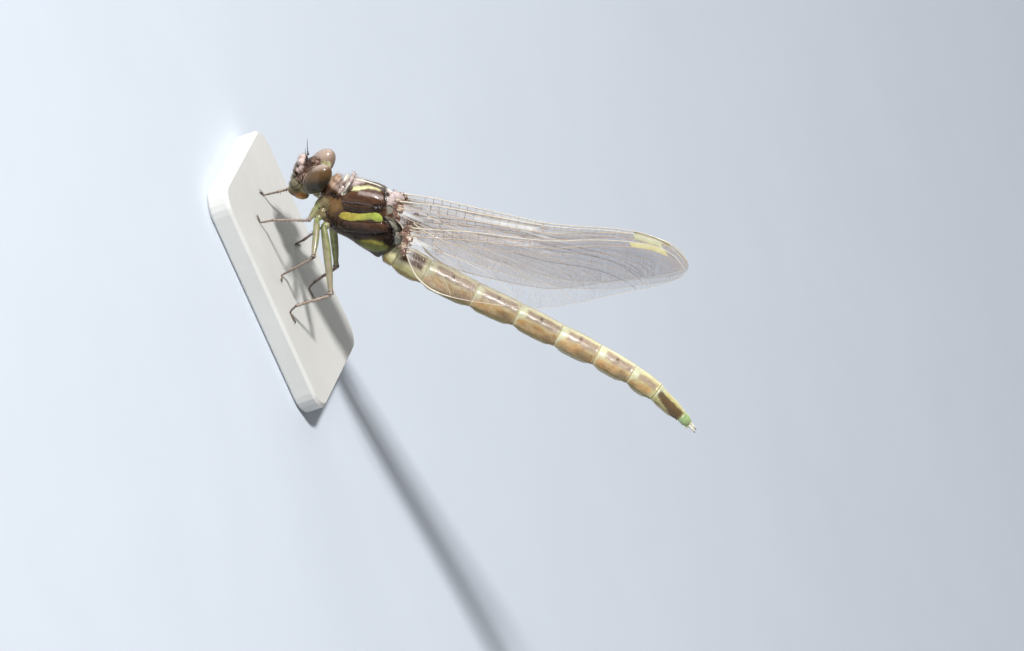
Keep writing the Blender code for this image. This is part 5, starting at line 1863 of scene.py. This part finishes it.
def wing_spot(wing):
    """The thick coloured cell near the tip, between the front edge and the first long vein."""
    start, end = wing.data["spot"]
    share = np.linspace(0, 1, 40)
    sides = 9
    rings = []
    for u in share:
        edge = min(1.0, 8.0 * min(u, 1 - u) + 0.15)
        across = np.linspace(0.02, 0.98, sides)
        t = start + (end - start) * u + (across - 0.5) * 0.5 / wing.length
        q = across * wing.vein("radius", t)
        plump = 0.045 * np.sin(np.linspace(0.3, math.pi - 0.3, sides)) * edge
        rings.append(np.concatenate([wing.at(t, q, plump), wing.at(t, q, -plump)[::-1]]))
    return np.concatenate(rings), ring_faces(len(share), 2 * sides)


class DRAGONFLY_OT_wings(Operator):
    """Make the four wings: folded membrane, long veins, cross veins and cells, and the wing spots"""
    bl_idname = "dragonfly.wings"
    bl_label = "Wings"

    def execute(self, context):
        film, vein, spot = film_finish(), vein_finish(), spot_finish()
        for kind in WINGS:
            for name, sign in SIDES:
                wing = Wing(kind, sign)
                label = f"{kind}_{name}"
                points, faces, milky_and_shine, flat = wing_film(wing)
                piece(label + "_film", points, faces, film, (label,), {"milky_and_shine": milky_and_shine}, flat)
                heap, spots = Heap(), []
                long_veins(wing, heap, spots)
                add_sticks(wing, heap, spots, ladder_rows(wing))
                add_sticks(wing, heap, spots, cell_rows(wing))
                points, faces, values = heap.done()
                piece(label + "_veins", points, faces, vein, (), values, np.concatenate(spots))
                points, faces = wing_spot(wing)
                warm = np.full(len(points), float(kind == "hindwing"))
                piece(label + "_spot", points, faces, spot, (), {"warm": warm})
        return {"FINISHED"}


HINGE_REACH = {"forewing": 2.5, "hindwing": 3.2}  # length of each wing's root behind its front edge, in mm
KNOTS = 26  # small plates and struts of a wing's root
HINGE_SEED = 11


def turned_to(way):
    """The turn that brings an egg's x axis to a way."""
    return Vector(way.tolist()).to_track_quat("X", "Z").to_matrix()


class DRAGONFLY_OT_hinges(Operator):
    """Make the small knotted plates that join the wings to the thorax"""
    bl_idname = "dragonfly.hinges"
    bl_label = "Wing hinges"

    def execute(self, context):
        heap = Heap()
        random = np.random.default_rng(HINGE_SEED)
        for kind, reach in HINGE_REACH.items():
            plan = random.uniform(-1, 1, (KNOTS, 7))
            for _, sign in SIDES:
                wing = Wing(kind, sign)
                along = unit(wing.span)
                for k, jog in enumerate(plan):
                    self.add_knot(heap, wing, along, k / KNOTS * reach, jog)
                for q in np.linspace(0.1, reach, 9):
                    centre = wing.at(0.0, q) - along * 0.28 + np.array([0, -sign * 0.16, 0])
                    heap.add(ball(centre, (0.5, 0.24, 0.3), 18, 12, turned_to(along)))
                line = np.linspace(0, reach + 0.3, 24)
                cord = wing.at(0.0, line) - along * 0.15
                heap.add(tube(cord, 0.13 + 0.05 * np.sin(4.0 * line), 12))
        skin = fuse(heap, voxel=0.05, softening=3)
        x, y, z = skin.points.T
        wave = np.sin(3.1 * x + 1.7 * z + 2.0 * np.sin(2.3 * y)) * np.sin(2.9 * z - 1.4 * x + 1.1 * abs(y))
        skin.push(0.02 * np.sin(14 * x + 5 * z) * np.sin(13 * z - 4 * x + 7 * abs(y)))
        tone = 0.38 + 0.38 * wave + 0.7 * step(7.3, 8.2, x)
        # How hollow the skin is, for painted shade in the grooves and painted highlight on the ridges.
        values = {"tone": tone, "crease_shading": skin.creases(rounds=4, deep=0.03)}
        piece("wing_hinges", skin.points, skin.faces, hinge_finish(), (), values)
        return {"FINISHED"}

    def add_knot(self, heap, wing, along, q, jog):
        """One small plate or strut of a wing root."""
        sign = wing.sign
        centre = wing.at((0.12 + 0.38 * jog[0]) / wing.length, q + 0.1 * jog[1])
        centre = centre + np.array([0, sign * (0.18 * jog[2] - 0.1), 0])
        if jog[3] > 0.45:
            root = centre - along * (0.85 + 0.2 * jog[4]) + (-0.15, -sign * 0.2, -0.1 + 0.3 * jog[5])
            middle = centre - along * 0.3 + (0, sign * 0.1, 0.1 * jog[6])
            path = curve([root, middle, centre + along * 0.35], 14)
            heap.add(tube(path, curve([[0.17], [0.13], [0.08]], 14)[:, 0], 10))
        else:
            radii = (0.33 + 0.11 * jog[4], 0.2 + 0.06 * jog[5], 0.22 + 0.06 * jog[6])
            heap.add(ball(centre, radii, 18, 12, turned_to(along)))


# ---------------------------------------------------------------- fine hairs

HAIR_SEED = 5
HAIR_POINTS = 9  # three rings of three
# Skin, share of the hairs, their lean in the body frame, and share of the full length
HAIRY = (
    ("thorax", 0.5, (0.5, 0, 0.1), 1.0),
    ("head", 0.28, (-0.1, 0, 0.1), 0.55),
    ("abdomen", 0.22, (0.9, 0, 0), 0.45),
)
BAKE_PATCH = 0.003  # width of a hair's patch in its unwrapped map


def hair_chance(skin, points):
    """How thickly hairs stand at points of a skin, as shares."""
    x, _, z = points.T
    if skin == "thorax":
        front = (1 - step(-4.0, 0.5, x)) * (0.3 + 0.7 * step(0.8, 2.6, z))
        return 0.05 + front + 0.4 * bell(x - 4.0, 1.2) * step(1.5, 2.5, z)
    if skin == "head":
        return 0.05 + (1 - step(-10.2, -8.8, x)) + 0.8 * step(-6.7, -6.0, x)
    return 0.03 + (1 - step(6.5, 10.0, x))


def hair_on(points, normals, lean, length, width, random):
    """Tapering three-sided hairs rooted at points."""
    count = len(points)
    way = unit(normals + lean + random.normal(0, 0.16, (count, 3)))
    reach = length * random.uniform(0.5, 1.15, count)[:, None]
    side = unit(np.cross(way, random.normal(0, 1, (count, 3))))
    other = np.cross(way, side)
    droop = unit(lean + 1e-6) * reach * 0.12
    stations = ((-0.05, 1.0, 0.0), (0.5, 0.7, 0.35), (1.0, 0.12, 1.0))
    rings = []
    for along, girth, sag in stations:
        centre = points + way * reach * along + droop * sag
        for k in range(3):
            a = 2 * math.pi * k / 3
            rings.append(centre + (math.cos(a) * side + math.sin(a) * other) * width * girth)
    shape = np.stack(rings, 1).reshape(-1, 3)
    one = ring_faces(3, 3)
    return shape, [[v + HAIR_POINTS * i for v in face] for i in range(count) for face in one]


def unwrap(points, centre):
    """Round-the-axis and along-the-axis places of points, as shares of the whole."""
    x, y, z = (points - centre).T
    along = (x - x.min()) / (x.max() - x.min())
    return np.stack([np.arctan2(y, z) / (2 * math.pi) + 0.5, along], 1)


def scatter(skin, wanted, random):
    """Roots for hairs on a skin, and the normals there, denser where the chance is high."""
    mesh = bpy.data.objects[skin + "_skin"].data
    points, normals = np.zeros((2, len(mesh.vertices) * 3), np.float32)
    mesh.attributes["place"].data.foreach_get("vector", points)
    mesh.vertices.foreach_get("normal", normals)
    points = points.reshape(-1, 3).astype(float)
    weight = hair_chance(skin, points)
    chosen = random.choice(len(points), wanted, replace=False, p=weight / weight.sum())
    return points[chosen], pitched(normals.reshape(-1, 3))[chosen]


class DRAGONFLY_OT_hairs(Operator):
    """Make the fine hairs of head, thorax and abdomen"""
    bl_idname = "dragonfly.hairs"
    bl_label = "Fine hairs"

    def execute(self, context):
        random = np.random.default_rng(HAIR_SEED)
        finish = hair_finish()
        long, width = sizes().hair_length, sizes().hair_width
        for skin, share, lean, scale in HAIRY:
            roots, normals = scatter(skin, int(sizes().hairs * share), random)
            shape, faces = hair_on(roots, normals, np.array(lean), long * scale, width, random)
            self.add_bake_map(piece(skin + "_hairs", shape, faces, finish), roots)
        return {"FINISHED"}

    def add_bake_map(self, made, roots):
        """A small patch of the unwrapped skin for each hair, at its root."""
        place = unwrap(roots, roots.mean(0))
        mesh = made.data
        corners = np.zeros(len(mesh.loops), int)
        mesh.loops.foreach_get("vertex_index", corners)
        hair, ring = np.divmod(corners, HAIR_POINTS)
        offset = np.stack([(ring % 3) / 2.0 - 0.5, (ring // 3) / 2.0 - 0.5], 1) * BAKE_PATCH
        uv = np.clip(place[hair] + offset, 0.0, 1.0)
        layer = mesh.uv_layers.new(name="OFBake")
        layer.data.foreach_set("uv", uv.astype(np.float32).ravel())


# ---------------------------------------------------------------- base and stage

class DRAGONFLY_OT_base(Operator):
    """Give the display base its satin off-white paint"""
    bl_idname = "dragonfly.base"
    bl_label = "Base"

    def execute(self, context):
        relief = {"roughness": 0.48, "strength": 0.12, "depth_mm": 0.05, "Pits": 900.0, "Wrinkles": 260.0}
        finish = painted_finish("base_paint", colours().base, 60.0, 0.05, relief,
                                Coat_Weight=0.15, Coat_Roughness=0.3)
        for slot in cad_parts["stand_base"].material_slots:
            slot.material = finish
        return {"FINISHED"}


def camera_axes():
    """Right, up and back of the camera, in the room."""
    flat, high = VIEW_AZIMUTH, VIEW_HEIGHT
    back = Vector((math.sin(flat) * math.cos(high), -math.cos(flat) * math.cos(high), math.sin(high)))
    right = (-back).cross(Vector((0, 0, 1))).normalized()
    up = right.cross(-back)
    c, s = math.cos(VIEW_ROLL), math.sin(VIEW_ROLL)
    return right * c + up * s, up * c - right * s, back


class DRAGONFLY_OT_stage(Operator):
    """Make the pale floor, the soft lights and the camera"""
    bl_idname = "dragonfly.stage"
    bl_label = "Stage"

    def execute(self, context):
        scene = context.scene
        mesh = bpy.data.meshes.new("floor")
        corners = [(x * FLOOR_REACH, y * FLOOR_REACH, 0) for x, y in ((-1, -1), (1, -1), (1, 1), (-1, 1))]
        mesh.from_pydata(corners, [], [(0, 1, 2, 3)])
        relief = {"roughness": 0.85, "strength": 0.05, "depth_mm": 0.2, "Pits": 400.0, "Wrinkles": 90.0}
        mesh.materials.append(painted_finish("studio_floor", colours().floor, 9.0, 0.02, relief))
        floor = bpy.data.objects.new("floor", mesh)
        scene.collection.objects.link(floor)
        world = bpy.data.worlds.new("studio")
        world.use_nodes = True
        sky = world.node_tree.nodes["Background"]
        sky.inputs["Color"].default_value = SKY
        sky.inputs["Strength"].default_value = SKY_STRENGTH
        scene.world = world
        scene.view_settings.view_transform = "Standard"
        right, up, back = camera_axes()
        middle = (Vector(ORIGIN.tolist()) + right * 15 - up * 8) * MM
        for name, way, distance, width, power in LAMPS:
            toward = right * way[0] + up * way[1] + back * way[2]
            self.lamp(name, middle, toward, distance, width or sizes().key_size, power)
        camera = bpy.data.cameras.new("camera")
        camera.sensor_width = SENSOR
        camera.lens = SENSOR * VIEW_DISTANCE / VIEW_WIDTH
        camera.clip_end = 100.0
        shown = bpy.data.objects.new("camera", camera)
        scene.collection.objects.link(shown)
        aim = Vector(ORIGIN.tolist()) + right * VIEW_AIM[0] + up * VIEW_AIM[1]
        axes = Matrix((right, up, back)).transposed().to_4x4()
        shown.matrix_world = Matrix.Translation((aim + back * VIEW_DISTANCE) * MM) @ axes
        scene.camera = shown
        return {"FINISHED"}

    def lamp(self, name, middle, way, distance, width, power):
        lamp = bpy.data.lights.new(name, "AREA")
        lamp.shape = "DISK"
        lamp.size = width
        lamp.energy = power
        made = bpy.data.objects.new(name, lamp)
        bpy.context.scene.collection.objects.link(made)
        place = middle + way.normalized() * distance
        turn = way.to_track_quat("Z", "Y").to_matrix().to_4x4()
        made.matrix_world = Matrix.Translation(place) @ turn


# ---------------------------------------------------------------- panel and start

STEPS = (
    DRAGONFLY_OT_base, DRAGONFLY_OT_thorax, DRAGONFLY_OT_abdomen, DRAGONFLY_OT_appendages, DRAGONFLY_OT_head,
    DRAGONFLY_OT_eyes, DRAGONFLY_OT_feelers, DRAGONFLY_OT_legs, DRAGONFLY_OT_wings, DRAGONFLY_OT_hinges,
    DRAGONFLY_OT_hairs, DRAGONFLY_OT_stage,
)


class DRAGONFLY_PT_panel(Panel):
    """Lists the pieces and their settings"""
    bl_idname = "DRAGONFLY_PT_panel"
    bl_label = "Dragonfly"
    bl_space_type = "VIEW_3D"
    bl_region_type = "UI"
    bl_category = "Dragonfly"

    def draw(self, context):
        layout = self.layout
        for made in STEPS:
            layout.operator(made.bl_idname)
        for settings in (context.scene.dragonfly_sizes, context.scene.dragonfly_colours):
            box = layout.box()
            for key in settings.__annotations__:
                box.prop(settings, key)


CLASSES = (DragonflySizes, DragonflyColours, *STEPS, DRAGONFLY_PT_panel)


def register():
    for each in CLASSES:
        bpy.utils.register_class(each)
    bpy.types.Scene.dragonfly_sizes = PointerProperty(type=DragonflySizes)
    bpy.types.Scene.dragonfly_colours = PointerProperty(type=DragonflyColours)


def unregister():
    del bpy.types.Scene.dragonfly_sizes
    del bpy.types.Scene.dragonfly_colours
    for each in reversed(CLASSES):
        bpy.utils.unregister_class(each)


def main():
    register()
    for made in STEPS:
        group_name, call = made.bl_idname.split(".")
        getattr(getattr(bpy.ops, group_name), call)()


if __name__ == "__main__":
    main()
